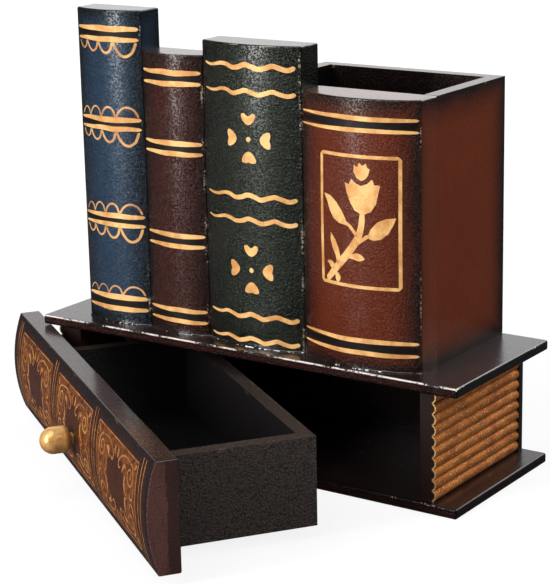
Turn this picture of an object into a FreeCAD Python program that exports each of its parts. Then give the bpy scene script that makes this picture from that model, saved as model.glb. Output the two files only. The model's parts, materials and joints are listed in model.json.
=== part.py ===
import FreeCAD
import Part
import Sketcher

import os

from FreeCAD import Vector

# A desk pen stand that looks like a shelf of old books.  A lying book is the base: two covers,
# ribbed page blocks at its ends and a back board.  Four upright book spines stand on it, and the
# boxed space behind two of them holds the pens.  The lying book's own spine is the front of a
# shallow drawer, which swings out to the front on an upright pin near the left page block.
#
# Millimetres.  Origin: centre of the underside.  +X to the right, +Y to the rear, +Z up.
# The drawer is modelled swung open, in a frame of its own that is turned about the pin.

doc = FreeCAD.newDocument("PenStand")
sheet = doc.addObject("Spreadsheet::Sheet", "Sizes")

SIZES = [
    # the lying book
    ("cover_length", 190.0, "base cover, left to right"),
    ("cover_depth", 70.5, "base cover, front to rear"),
    ("cover_thickness", 3.8, "base cover board"),
    ("cover_edge_radius", 0.8, "rounding of the cover edges"),
    ("base_height", 49.0, "underside to top of the upper cover"),
    ("side_overhang", 10.0, "cover past the crests of the right page ribs"),
    ("front_recess", 3.0, "page block front behind the cover edge"),
    ("rear_recess", 1.0, "back board behind the cover's rear edge"),
    ("page_block_width", 6.5, "right page block with its ribs"),
    ("pivot_side_overhang", 5.5, "cover past the rib crests at the drawer's pivot"),
    ("pivot_side_width", 11.0, "page block at the drawer's pivot, with its ribs"),
    ("page_rib_height", 1.3, "rib crest above the page block's core"),
    ("page_rib_count", 10, "ribs on a page block"),
    ("back_board_thickness", 3.0, "board closing the rear"),
    # the upright books
    ("facade_inset", 17.0, "left side of the first spine from the cover's left edge"),
    ("spine_setback", 9.6, "spine corners behind the cover's front edge"),
    ("spine_depth", 11.0, "spine board from its front corners to its back"),
    ("spine_edge_radius", 0.7, "rounding of the spine tops"),
    ("blue_width", 31.0, "first spine"),
    ("maroon_width", 28.5, "second spine"),
    ("green_width", 44.0, "third spine"),
    ("red_width", 50.0, "fourth spine, front of the pen box"),
    ("blue_height", 123.5, "first spine above the base"),
    ("maroon_height", 108.5, "second spine above the base"),
    ("green_height", 114.5, "third spine above the base"),
    ("red_height", 99.0, "fourth spine and pen box above the base"),
    ("blue_bulge", 3.5, "roundness of the first spine"),
    ("maroon_bulge", 3.5, "roundness of the second spine"),
    ("green_bulge", 4.2, "roundness of the third spine"),
    ("red_bulge", 6.8, "roundness of the fourth spine"),
    # the pen box
    ("pen_box_length", 79.0, "pen box outside, left to right"),
    ("pen_wall", 5.5, "pen box wall"),
    # the drawer
    ("drawer_front_overhang", 1.5, "drawer front past the covers at each end"),
    ("drawer_front_thickness", 8.0, "drawer front at its upper and lower edge"),
    ("drawer_front_bulge", 3.7, "roundness of the drawer front"),
    ("drawer_front_gap", 0.5, "drawer front to each cover"),
    ("drawer_front_clearance", 0.6, "closed drawer front ahead of the covers"),
    ("drawer_left_gap", 16.5, "drawer box to the left page block"),
    ("drawer_right_gap", 3.0, "drawer box to the right page block"),
    ("drawer_depth", 56.0, "drawer box, front to rear"),
    ("drawer_height", 33.0, "drawer box"),
    ("drawer_wall", 5.5, "drawer box side and back"),
    ("drawer_inner_front", 4.0, "drawer box front board"),
    ("drawer_floor", 4.0, "drawer box bottom board"),
    ("drawer_lift", 0.9, "drawer box above the lower cover"),
    ("swing_open", 35.5, "degrees from closed to the modelled pose"),
    # the pivot
    ("pivot_bite", 0.5, "pin axis inside the left page block's inner face"),
    ("pivot_setback", 29.5, "pin axis behind the cover's front edge"),
    ("pivot_eye_radius", 3.2, "round end of the pivot block"),
    ("pivot_pocket_gap", 0.4, "pocket in the page block round the eye"),
    ("pivot_arm_front", 1.5, "front face of the pivot block ahead of the axis"),
    ("pivot_arm_heel", 1.6, "rear step of the pivot block beside the axis"),
    ("pivot_arm_rear", 8.0, "rear face of the pivot block behind the axis"),
    ("pivot_slip", 0.1, "pivot block to each washer"),
    ("washer_thickness", 0.8, "pivot washer"),
    ("washer_diameter", 6.4, "pivot washer"),
    ("pin_diameter", 3.0, "pivot pin"),
    ("pin_head_diameter", 6.0, "countersunk head of the pivot pin"),
    ("pin_head_height", 1.5, "countersunk head of the pivot pin"),
    ("pin_bore_gap", 0.08, "pivot block's bore round the pin"),
    ("pin_top_depth", 2.0, "pin into the upper cover"),
    # the knob
    ("knob_diameter", 10.2, "turned knob at its widest"),
    ("knob_length", 12.8, "turned knob"),
    ("knob_shoulder", 2.6, "rounding behind the knob's barrel"),
    ("knob_neck_diameter", 4.4, "turned knob at its foot"),
    ("knob_neck_length", 1.6, "straight foot of the knob"),
    ("knob_seat", 0.4, "foot of the knob let into the drawer front"),
    ("knob_drop", 2.5, "knob below the middle of the drawer front"),
    # fasteners
    ("screw_diameter", 2.4, "wood screw"),
    ("screw_head_diameter", 4.6, "countersunk head of a wood screw"),
    ("screw_head_height", 1.6, "countersunk head of a wood screw"),
    ("spine_screw_length", 16.0, "screw up into a spine"),
    ("block_screw_length", 13.5, "screw into the pivot block"),
    ("panel_screw_length", 10.5, "screw into the drawer front"),
    ("knob_screw_bite", 6.0, "knob screw into the knob"),
    ("brad_diameter", 1.2, "panel nail"),
    ("brad_head_diameter", 2.2, "head of a panel nail"),
    ("brad_head_height", 0.6, "head of a panel nail"),
    ("brad_length", 14.0, "panel nail"),
    ("fastener_margin", 9.0, "fasteners from the end of a board"),
    ("dowel_diameter", 2.5, "dowel between page block and upper cover"),
    ("dowel_length", 12.0, "dowel between page block and upper cover"),
    ("dowel_in_cover", 2.0, "dowel into the upper cover"),
]
for row, (alias, size, meaning) in enumerate(SIZES, start=1):
    sheet.set(f"A{row}", meaning)
    sheet.set(f"B{row}", str(size))
    sheet.setAlias(f"B{row}", alias)
doc.recompute()


def size(alias):
    """The expression that reads one size from the sheet."""
    return f"Sizes.{alias}"


# Lines and levels of the row frame, as expressions of the sheet's sizes.
LEFT = "-Sizes.cover_length / 2"
RIGHT = "Sizes.cover_length / 2"
FRONT = "-Sizes.cover_depth / 2"
REAR = "Sizes.cover_depth / 2"
FLOOR = "Sizes.cover_thickness"
CEILING = "(Sizes.base_height - Sizes.cover_thickness)"
DECK = "Sizes.base_height"
PAGE_INSET = "(Sizes.side_overhang + Sizes.page_block_width)"
PIVOT_SIDE_INSET = "(Sizes.pivot_side_overhang + Sizes.pivot_side_width)"
PAGE_FRONT = f"({FRONT} + Sizes.front_recess)"
BACK_BOARD_FRONT = f"({REAR} - Sizes.rear_recess - Sizes.back_board_thickness)"
SPINE_FRONT = f"({FRONT} + Sizes.spine_setback)"
SPINE_BACK = f"({SPINE_FRONT} + Sizes.spine_depth)"
SPINE_MIDDLE = f"({SPINE_FRONT} + Sizes.spine_depth / 2)"

# Lines and levels of the drawer frame, whose origin is on the pivot axis.
PIVOT_INSET = f"({PIVOT_SIDE_INSET} - Sizes.pivot_bite)"
FRONT_BACK_FACE = "-(Sizes.pivot_setback + Sizes.drawer_front_clearance)"
BOX_LEFT = "(Sizes.pivot_bite + Sizes.drawer_left_gap)"
BOX_LENGTH = (f"(Sizes.cover_length - {PIVOT_SIDE_INSET} - {PAGE_INSET}"
              " - Sizes.drawer_left_gap - Sizes.drawer_right_gap)")
BOX_RIGHT = f"({BOX_LEFT} + {BOX_LENGTH})"
BOX_REAR = f"({FRONT_BACK_FACE} + Sizes.drawer_depth)"
BOX_BOTTOM = "(Sizes.cover_thickness + Sizes.drawer_lift)"
BOX_FLOOR = f"({BOX_BOTTOM} + Sizes.drawer_floor)"
BOX_TOP = f"({BOX_BOTTOM} + Sizes.drawer_height)"
FRONT_BOTTOM = "(Sizes.cover_thickness + Sizes.drawer_front_gap)"
FRONT_HEIGHT = "(Sizes.base_height - 2 * Sizes.cover_thickness - 2 * Sizes.drawer_front_gap)"
FRONT_LENGTH = "(Sizes.cover_length + 2 * Sizes.drawer_front_overhang)"
FRONT_LEFT = f"-({PIVOT_INSET} + Sizes.drawer_front_overhang)"

# Ways to turn a piece that is drawn upright.
UPRIGHT = "vector(0; 0; 1); 0"
HALF_TURN = "vector(0; 0; 1); 180"
POINTING_LEFT = "vector(0; 1; 0); -90"
POINTING_FORWARD = "vector(1; 0; 0); 90"

drawer_frame = doc.addObject("Part::LocalCoordinateSystem", "DrawerFrame")
drawer_frame.setExpression("Placement.Base.x", f"{LEFT} + {PIVOT_INSET}")
drawer_frame.setExpression("Placement.Base.y", f"{FRONT} + {size('pivot_setback')}")
drawer_frame.setExpression("Placement.Rotation.Angle", "-Sizes.swing_open")
DRAWER = "DrawerFrame"


def put(thing, spot, frame="", turn=UPRIGHT):
    """Tie a thing's Placement to a spot in the row frame, or in another frame."""
    x, y, z = spot
    place = f"placement(vector({x}; {y}; {z}); rotation({turn}))"
    thing.setExpression("Placement", f"{frame}.Placement * {place}" if frame else place)
    return thing


def bind(thing, **sizes):
    """Tie properties of a thing to expressions."""
    for name, expression in sizes.items():
        thing.setExpression(name, expression)
    return thing


def board(label, corner, length, depth, height, frame=""):
    """A rectangular board with one corner at the given spot."""
    blank = bind(doc.addObject("Part::Box", label), Length=length, Width=depth, Height=height)
    blank.Label = label
    return put(blank, corner, frame)


def rod(label, spot, diameter, length, frame="", turn=UPRIGHT):
    """A round rod that starts at the given spot."""
    cylinder = bind(doc.addObject("Part::Cylinder", label), Radius=f"{diameter} / 2", Height=length)
    cylinder.Label = label
    return put(cylinder, spot, frame, turn)


def group(label, things):
    """Separate solids that share one node."""
    compound = doc.addObject("Part::Compound", label)
    compound.Label = label
    compound.Links = things
    return compound


def fastener(label, kind, length, spot, frame="", turn=UPRIGHT):
    """A nail, screw or pin with a countersunk head: the head's flat is at the spot."""
    head = doc.addObject("Part::Cone", f"{label}_head")
    bind(head, Radius1=f"Sizes.{kind}_head_diameter / 2", Radius2=f"Sizes.{kind}_diameter / 2",
         Height=f"Sizes.{kind}_head_height")
    put(head, spot, frame, turn)
    shank = rod(f"{label}_shank", spot, f"Sizes.{kind}_diameter", length, frame, turn)
    whole = doc.addObject("Part::Fuse", label)
    whole.Label = label
    whole.Base = head
    whole.Tool = shank
    return whole


def cut(label, blank, tools):
    """What is left of a blank once the shapes of other things are taken out of it."""
    blank.Label = f"{label}_blank"
    piece = doc.addObject("Part::Cut", label)
    piece.Label = label
    piece.Base = blank
    piece.Tool = tools[0] if len(tools) == 1 else group(f"{label}_openings", tools)
    return piece


def new_body(label):
    body = doc.addObject("PartDesign::Body", label)
    body.Label = label
    return body


def sketch_on(body, plane_role, name):
    """A sketch on one of the body's own origin planes."""
    sketch = body.newObject("Sketcher::SketchObject", name)
    plane = next(item for item in body.Origin.OriginFeatures if item.Role == plane_role)
    sketch.AttachmentSupport = [(plane, "")]
    sketch.MapMode = "FlatFace"
    return sketch


def add_constraint(sketch, *terms, tie=None):
    """Add a constraint, and tie its size to an expression if one is given."""
    index = sketch.addConstraint(Sketcher.Constraint(*terms))
    if tie is not None:
        sketch.setExpression(f"Constraints[{index}]", tie)
    return index


def bowed_outline(sketch, width, depth, bulge):
    """A board's section: three straight sides and a bowed one below the first sketch axis."""
    first, last = Vector(0, 0, 0), Vector(30, 0, 0)
    bow = sketch.addGeometry(Part.Arc(first, Vector(15, -3, 0), last))
    side = sketch.addGeometry(Part.LineSegment(last, Vector(30, 10, 0)))
    back = sketch.addGeometry(Part.LineSegment(Vector(30, 10, 0), Vector(0, 10, 0)))
    other = sketch.addGeometry(Part.LineSegment(Vector(0, 10, 0), first))
    start, end, centre = 1, 2, 3
    origin = -1, 1
    add_constraint(sketch, "Coincident", bow, start, *origin)
    add_constraint(sketch, "Coincident", bow, end, side, start)
    add_constraint(sketch, "Coincident", side, end, back, start)
    add_constraint(sketch, "Coincident", back, end, other, start)
    add_constraint(sketch, "Coincident", other, end, *origin)
    add_constraint(sketch, "Vertical", side)
    add_constraint(sketch, "Horizontal", back)
    add_constraint(sketch, "Vertical", other)
    add_constraint(sketch, "DistanceX", *origin, side, start, 30.0, tie=width)
    add_constraint(sketch, "DistanceY", *origin, back, end, 10.0, tie=depth)
    add_constraint(sketch, "DistanceX", *origin, bow, centre, 15.0, tie=f"({width}) / 2")
    add_constraint(sketch, "Radius", bow, 39.0, tie=f"(({width}) ^ 2 / 4 + {bulge} ^ 2) / (2 * {bulge})")


def pad(body, sketch, length, name):
    feature = body.newObject("PartDesign::Pad", name)
    feature.Profile = sketch
    feature.setExpression("Length", length)
    return feature


def fillet(body, feature, edges, radius, name):
    """Round the edges of a feature that a test picks."""
    doc.recompute()
    picked = [f"Edge{number}" for number, edge in enumerate(feature.Shape.Edges, start=1) if edges(edge)]
    rounding = body.newObject("PartDesign::Fillet", name)
    rounding.Base = (feature, picked)
    rounding.setExpression("Radius", radius)
    return rounding


def all_at(edge, axis, level):
    """True where every end of an edge lies at one level of an axis."""
    return all(abs(getattr(vertex.Point, axis) - level) < 1e-4 for vertex in edge.Vertexes)


def cover(label, level):
    """A base cover: a board with all of its edges eased."""
    body = new_body(label)
    sketch = sketch_on(body, "XY_Plane", f"{label}_outline")
    corners = [Vector(0, 0, 0), Vector(190, 0, 0), Vector(190, 70, 0), Vector(0, 70, 0)]
    sides = [sketch.addGeometry(Part.LineSegment(a, b)) for a, b in zip(corners, corners[1:] + corners[:1])]
    for here, after in zip(sides, sides[1:] + sides[:1]):
        add_constraint(sketch, "Coincident", here, 2, after, 1)
    for side, direction in zip(sides, ["Horizontal", "Vertical"] * 2):
        add_constraint(sketch, direction, side)
    add_constraint(sketch, "Coincident", sides[0], 1, -1, 1)
    add_constraint(sketch, "DistanceX", sides[0], 1, sides[0], 2, 190.0, tie=size("cover_length"))
    add_constraint(sketch, "DistanceY", sides[1], 1, sides[1], 2, 70.0, tie=size("cover_depth"))
    slab = pad(body, sketch, size("cover_thickness"), f"{label}_slab")
    fillet(body, slab, lambda edge: True, size("cover_edge_radius"), f"{label}_easing")
    return put(body, (LEFT, FRONT, level))


def spine_board(label, book, left):
    """An upright spine: a board with a bowed front, its upper edges and front corners eased."""
    width = size(f"{book}_width")
    height = size(f"{book}_height")
    body = new_body(label)
    sketch = sketch_on(body, "XY_Plane", f"{label}_section")
    bowed_outline(sketch, width, size("spine_depth"), size(f"{book}_bulge"))
    block = pad(body, sketch, height, f"{label}_block")
    top = float(sheet.get(f"{book}_height"))

    def worn(edge):
        return all_at(edge, "z", top) or (all_at(edge, "y", 0) and edge.Length > top / 2)

    fillet(body, block, worn, size("spine_edge_radius"), f"{label}_easing")
    return put(body, (left, SPINE_FRONT, DECK))


def page_block(label, width, corner, turn):
    """Page edges: a board along the cover's end, with round ribs side by side on its outer face."""
    core = f"(Sizes.{width} - Sizes.page_rib_height)"
    depth = f"({BACK_BOARD_FRONT} - {PAGE_FRONT})"
    pitch = f"(({CEILING} - {FLOOR}) / Sizes.page_rib_count)"
    body = new_body(label)

    sketch = sketch_on(body, "XZ_Plane", f"{label}_rib_section")
    thickness = sheet.get(width) - sheet.get("page_rib_height")
    lower, upper = Vector(thickness, 0, 0), Vector(thickness, 4, 0)
    crest = sketch.addGeometry(Part.Arc(lower, Vector(thickness + 1, 2, 0), upper))
    top = sketch.addGeometry(Part.LineSegment(upper, Vector(0, 4, 0)))
    inner = sketch.addGeometry(Part.LineSegment(Vector(0, 4, 0), Vector(0, 0, 0)))
    bottom = sketch.addGeometry(Part.LineSegment(Vector(0, 0, 0), lower))
    add_constraint(sketch, "Coincident", bottom, 1, -1, 1)
    add_constraint(sketch, "Coincident", bottom, 2, crest, 1)
    add_constraint(sketch, "Coincident", crest, 2, top, 1)
    add_constraint(sketch, "Coincident", top, 2, inner, 1)
    add_constraint(sketch, "Coincident", inner, 2, -1, 1)
    add_constraint(sketch, "Horizontal", bottom)
    add_constraint(sketch, "Horizontal", top)
    add_constraint(sketch, "DistanceX", bottom, 1, bottom, 2, thickness, tie=core)
    add_constraint(sketch, "DistanceX", top, 2, top, 1, thickness, tie=core)
    add_constraint(sketch, "DistanceY", inner, 2, inner, 1, 4.0, tie=pitch)
    rib_radius = f"({pitch} ^ 2 / 4 + Sizes.page_rib_height ^ 2) / (2 * Sizes.page_rib_height)"
    add_constraint(sketch, "Radius", crest, 2.5, tie=rib_radius)

    rib = pad(body, sketch, depth, f"{label}_rib")
    rib.Reversed = True
    ribs = body.newObject("PartDesign::LinearPattern", f"{label}_ribs")
    ribs.Originals = [rib]
    ribs.Direction = (sketch, ["V_Axis"])
    ribs.setExpression("Length", f"{pitch} * (Sizes.page_rib_count - 1)")
    ribs.setExpression("Occurrences", size("page_rib_count"))
    body.Tip = ribs
    return put(body, corner, turn=turn)


def drawer_front_board(label):
    """The lying book's spine: a long board, bowed from its lower to its upper edge."""
    body = new_body(label)
    sketch = sketch_on(body, "YZ_Plane", f"{label}_section")
    thickness = size("drawer_front_thickness")
    bulge = size("drawer_front_bulge")
    lower, upper = Vector(-8, 0, 0), Vector(-8, 40, 0)
    bow = sketch.addGeometry(Part.Arc(upper, Vector(-11, 20, 0), lower))
    bottom = sketch.addGeometry(Part.LineSegment(lower, Vector(0, 0, 0)))
    back = sketch.addGeometry(Part.LineSegment(Vector(0, 0, 0), Vector(0, 40, 0)))
    top = sketch.addGeometry(Part.LineSegment(Vector(0, 40, 0), upper))
    add_constraint(sketch, "Coincident", bow, 2, bottom, 1)
    add_constraint(sketch, "Coincident", bottom, 2, -1, 1)
    add_constraint(sketch, "Coincident", back, 1, -1, 1)
    add_constraint(sketch, "Coincident", back, 2, top, 1)
    add_constraint(sketch, "Coincident", top, 2, bow, 1)
    add_constraint(sketch, "Vertical", back)
    add_constraint(sketch, "Horizontal", top)
    add_constraint(sketch, "Horizontal", bottom)
    add_constraint(sketch, "DistanceY", back, 1, back, 2, 40.0, tie=FRONT_HEIGHT)
    add_constraint(sketch, "DistanceX", bottom, 1, bottom, 2, 8.0, tie=thickness)
    add_constraint(sketch, "DistanceX", top, 2, top, 1, 8.0, tie=thickness)
    add_constraint(sketch, "Radius", bow, 56.0, tie=f"({FRONT_HEIGHT} ^ 2 / 4 + {bulge} ^ 2) / (2 * {bulge})")
    block = pad(body, sketch, FRONT_LENGTH, f"{label}_block")
    fillet(body, block, lambda edge: True, size("spine_edge_radius"), f"{label}_easing")
    return put(body, (FRONT_LEFT, FRONT_BACK_FACE, FRONT_BOTTOM), DRAWER)


def pivot_arm(label):
    """The block that carries the drawer: a round eye on the pin and an arm to the drawer box."""
    body = new_body(label)
    sketch = sketch_on(body, "XY_Plane", f"{label}_outline")
    eye_lower, eye_upper = Vector(2.8, -1.5, 0), Vector(1.6, 2.8, 0)
    rear_left, rear_right, front_right = Vector(1.6, 8, 0), Vector(17, 8, 0), Vector(17, -1.5, 0)
    eye = sketch.addGeometry(Part.Arc(eye_upper, Vector(-3.2, 0, 0), eye_lower))
    front = sketch.addGeometry(Part.LineSegment(eye_lower, front_right))
    end = sketch.addGeometry(Part.LineSegment(front_right, rear_right))
    rear = sketch.addGeometry(Part.LineSegment(rear_right, rear_left))
    heel = sketch.addGeometry(Part.LineSegment(rear_left, eye_upper))
    add_constraint(sketch, "Coincident", eye, 3, -1, 1)
    add_constraint(sketch, "Coincident", eye, 2, front, 1)
    add_constraint(sketch, "Coincident", front, 2, end, 1)
    add_constraint(sketch, "Coincident", end, 2, rear, 1)
    add_constraint(sketch, "Coincident", rear, 2, heel, 1)
    add_constraint(sketch, "Coincident", heel, 2, eye, 1)
    add_constraint(sketch, "Horizontal", front)
    add_constraint(sketch, "Vertical", end)
    add_constraint(sketch, "Horizontal", rear)
    add_constraint(sketch, "Vertical", heel)
    add_constraint(sketch, "Radius", eye, 3.2, tie=size("pivot_eye_radius"))
    add_constraint(sketch, "DistanceY", front, 1, -1, 1, 1.5, tie=size("pivot_arm_front"))
    add_constraint(sketch, "DistanceX", -1, 1, end, 1, 17.0, tie=BOX_LEFT)
    add_constraint(sketch, "DistanceY", -1, 1, rear, 1, 8.0, tie=size("pivot_arm_rear"))
    add_constraint(sketch, "DistanceX", -1, 1, heel, 1, 1.6, tie=size("pivot_arm_heel"))
    lift = "(Sizes.washer_thickness + Sizes.pivot_slip)"
    pad(body, sketch, f"{CEILING} - {FLOOR} - 2 * {lift}", f"{label}_block")
    return put(body, ("0", "0", f"{FLOOR} + {lift}"), DRAWER)


def turned_knob(label, spot, frame, turn):
    """A turned knob: a slim foot, a straight barrel with a rounded shoulder and a domed end."""
    body = new_body(label)
    sketch = sketch_on(body, "XZ_Plane", f"{label}_section")
    foot, neck, ledge_end = Vector(2.2, 0, 0), Vector(2.2, 1.6, 0), Vector(2.5, 1.6, 0)
    lower, upper, tip = Vector(5.1, 4.2, 0), Vector(5.1, 7.7, 0), Vector(0, 12.8, 0)
    sole = sketch.addGeometry(Part.LineSegment(Vector(0, 0, 0), foot))
    shaft = sketch.addGeometry(Part.LineSegment(foot, neck))
    ledge = sketch.addGeometry(Part.LineSegment(neck, ledge_end))
    shoulder = sketch.addGeometry(Part.Arc(ledge_end, Vector(4.338, 2.362, 0), lower))
    barrel = sketch.addGeometry(Part.LineSegment(lower, upper))
    dome = sketch.addGeometry(Part.Arc(upper, Vector(3.606, 11.306, 0), tip))
    axis = sketch.addGeometry(Part.LineSegment(tip, Vector(0, 0, 0)))
    add_constraint(sketch, "Coincident", sole, 1, -1, 1)
    add_constraint(sketch, "Coincident", sole, 2, shaft, 1)
    add_constraint(sketch, "Coincident", shaft, 2, ledge, 1)
    add_constraint(sketch, "Tangent", ledge, 2, shoulder, 1)
    add_constraint(sketch, "Tangent", shoulder, 2, barrel, 1)
    add_constraint(sketch, "Tangent", barrel, 2, dome, 1)
    add_constraint(sketch, "Coincident", dome, 2, axis, 1)
    add_constraint(sketch, "Coincident", axis, 2, -1, 1)
    add_constraint(sketch, "PointOnObject", dome, 3, -2)
    add_constraint(sketch, "Horizontal", sole)
    add_constraint(sketch, "Vertical", shaft)
    add_constraint(sketch, "Horizontal", ledge)
    add_constraint(sketch, "Vertical", barrel)
    add_constraint(sketch, "Vertical", axis)
    room = "0.45 * (Sizes.knob_diameter - Sizes.knob_neck_diameter)"
    add_constraint(sketch, "DistanceX", sole, 1, sole, 2, 2.2, tie="Sizes.knob_neck_diameter / 2")
    add_constraint(sketch, "DistanceY", shaft, 1, shaft, 2, 1.6, tie=size("knob_neck_length"))
    add_constraint(sketch, "Radius", shoulder, 2.6, tie=f"min(Sizes.knob_shoulder; {room})")
    add_constraint(sketch, "DistanceX", -1, 1, barrel, 1, 5.1, tie="Sizes.knob_diameter / 2")
    add_constraint(sketch, "DistanceY", axis, 2, axis, 1, 12.8, tie=size("knob_length"))
    turning = body.newObject("PartDesign::Revolution", f"{label}_turning")
    turning.Profile = sketch
    turning.ReferenceAxis = (sketch, ["V_Axis"])
    turning.Angle = 360
    return put(body, spot, frame, turn)


# Fasteners come first, because the boards round them are cut to their shapes.
BLOCK_COLUMNS = [f"{LEFT} + {PIVOT_SIDE_INSET} - (Sizes.pivot_side_width - Sizes.page_rib_height) / 2",
                 f"{RIGHT} - {PAGE_INSET} + (Sizes.page_block_width - Sizes.page_rib_height) / 2"]
BLOCK_ROWS = [f"{PAGE_FRONT} + Sizes.fastener_margin", f"{BACK_BOARD_FRONT} - Sizes.fastener_margin"]
BACK_ROW = f"{BACK_BOARD_FRONT} + Sizes.back_board_thickness / 2"
BACK_COLUMN = f"({RIGHT} - Sizes.side_overhang - 2 * Sizes.fastener_margin)"

corners = [(x, y) for x in BLOCK_COLUMNS for y in BLOCK_ROWS]
back_spots = [(f"-{BACK_COLUMN}", BACK_ROW), ("0", BACK_ROW), (BACK_COLUMN, BACK_ROW)]
bottom_brads = group("bottom_brads", [
    fastener(f"bottom_brad_{number}", "brad", size("brad_length"), (x, y, "0"))
    for number, (x, y) in enumerate(corners + back_spots, start=1)
])
DOWEL_BOTTOM = f"{CEILING} + Sizes.dowel_in_cover - Sizes.dowel_length"
top_dowels = group("top_dowels", [
    rod(f"top_dowel_{number}", (x, y, DOWEL_BOTTOM), size("dowel_diameter"), size("dowel_length"))
    for number, (x, y) in enumerate(corners, start=1)
])

# The row of spines, from the left; each one starts where the one before it ends.
BLUE_LEFT = f"({LEFT} + Sizes.facade_inset)"
MAROON_LEFT = f"({BLUE_LEFT} + Sizes.blue_width)"
GREEN_LEFT = f"({MAROON_LEFT} + Sizes.maroon_width)"
RED_LEFT = f"({GREEN_LEFT} + Sizes.green_width)"
PEN_RIGHT = f"({RED_LEFT} + Sizes.red_width)"
PEN_LEFT = f"({PEN_RIGHT} - Sizes.pen_box_length)"
WALL_BACK = f"({REAR} - Sizes.pen_wall)"

spine_screws = group("spine_screws", [
    fastener(f"spine_screw_{number}", "screw", size("spine_screw_length"), (x, y, CEILING))
    for number, (x, y) in enumerate([
        (f"{BLUE_LEFT} + Sizes.blue_width / 2", SPINE_MIDDLE),
        (f"{MAROON_LEFT} + Sizes.maroon_width / 2", SPINE_MIDDLE),
        (f"{GREEN_LEFT} + Sizes.green_width / 2", SPINE_MIDDLE),
        (f"{RED_LEFT} + Sizes.red_width / 4", SPINE_MIDDLE),
        (f"{PEN_RIGHT} - Sizes.red_width / 4", SPINE_MIDDLE),
        (f"{PEN_LEFT} + 2 * Sizes.fastener_margin", f"{REAR} - Sizes.pen_wall / 2"),
        (f"{PEN_RIGHT} - 2 * Sizes.fastener_margin", f"{REAR} - Sizes.pen_wall / 2"),
    ], start=1)
])
WALL_COLUMNS = [f"{PEN_LEFT} + Sizes.pen_wall / 2", f"{PEN_RIGHT} - Sizes.pen_wall / 2"]
WALL_LEVELS = [f"{DECK} + 2 * Sizes.fastener_margin",
               f"{DECK} + Sizes.red_height - 2 * Sizes.fastener_margin"]
pen_box_brads = group("pen_box_brads", [
    fastener(f"pen_box_brad_{number}", "brad", size("brad_length"), (x, REAR, z), turn=POINTING_FORWARD)
    for number, (x, z) in enumerate([(x, z) for x in WALL_COLUMNS for z in WALL_LEVELS], start=1)
])

# The pivot: a steel pin up through the lower cover, with a washer under and over the drawer's block.
PIVOT = (f"{LEFT} + {PIVOT_INSET}", f"{FRONT} + Sizes.pivot_setback")
pivot_pin = fastener("pivot_pin", "pin", f"{CEILING} + Sizes.pin_top_depth", (*PIVOT, "0"))
lower_disc = rod("lower_disc", (*PIVOT, FLOOR), size("washer_diameter"), size("washer_thickness"))
upper_disc = rod("upper_disc", (*PIVOT, f"{CEILING} - Sizes.washer_thickness"), size("washer_diameter"),
                 size("washer_thickness"))
lower_pivot_washer = cut("lower_pivot_washer", lower_disc, [pivot_pin])
upper_pivot_washer = cut("upper_pivot_washer", upper_disc, [pivot_pin])

# The lying book.
PAGE_HEIGHT = f"{CEILING} - {FLOOR}"
bottom_cover = cut("bottom_cover", cover("bottom_board", "0"), [bottom_brads, pivot_pin])
top_cover = cut("top_cover", cover("top_board", CEILING), [top_dowels, pivot_pin, spine_screws])
pocket = rod("pivot_pocket", (*PIVOT, FLOOR), "2 * (Sizes.pivot_eye_radius + Sizes.pivot_pocket_gap)",
             PAGE_HEIGHT)
left_ribs = page_block("left_ribs", "pivot_side_width",
                       (f"{LEFT} + {PIVOT_SIDE_INSET}", BACK_BOARD_FRONT, FLOOR), HALF_TURN)
right_ribs = page_block("right_ribs", "page_block_width",
                        (f"{RIGHT} - {PAGE_INSET}", PAGE_FRONT, FLOOR), UPRIGHT)
left_page_block = cut("left_page_block", left_ribs, [bottom_brads, top_dowels, pocket])
right_page_block = cut("right_page_block", right_ribs, [bottom_brads, top_dowels])
back_blank = board("back_blank", (f"{LEFT} + Sizes.pivot_side_overhang", BACK_BOARD_FRONT, FLOOR),
                   "Sizes.cover_length - Sizes.pivot_side_overhang - Sizes.side_overhang",
                   size("back_board_thickness"), PAGE_HEIGHT)
back_board = cut("back_board", back_blank, [bottom_brads])

# The upright books and the pen box behind the last two.
blue_spine = cut("blue_spine", spine_board("blue_board", "blue", BLUE_LEFT), [spine_screws])
maroon_spine = cut("maroon_spine", spine_board("maroon_board", "maroon", MAROON_LEFT), [spine_screws])
green_spine = cut("green_spine", spine_board("green_board", "green", GREEN_LEFT), [spine_screws])
red_spine = cut("red_spine", spine_board("red_board", "red", RED_LEFT), [spine_screws])
WALL_DEPTH = f"{WALL_BACK} - {SPINE_BACK}"
left_wall = board("left_wall", (PEN_LEFT, SPINE_BACK, DECK), size("pen_wall"), WALL_DEPTH, size("red_height"))
right_wall = board("right_wall", (f"{PEN_RIGHT} - Sizes.pen_wall", SPINE_BACK, DECK), size("pen_wall"),
                   WALL_DEPTH, size("red_height"))
rear_wall = board("rear_wall", (PEN_LEFT, WALL_BACK, DECK), size("pen_box_length"), size("pen_wall"),
                  size("red_height"))
pen_box_left_wall = cut("pen_box_left_wall", left_wall, [pen_box_brads])
pen_box_right_wall = cut("pen_box_right_wall", right_wall, [pen_box_brads])
pen_box_rear_wall = cut("pen_box_rear_wall", rear_wall, [pen_box_brads, spine_screws])

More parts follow.
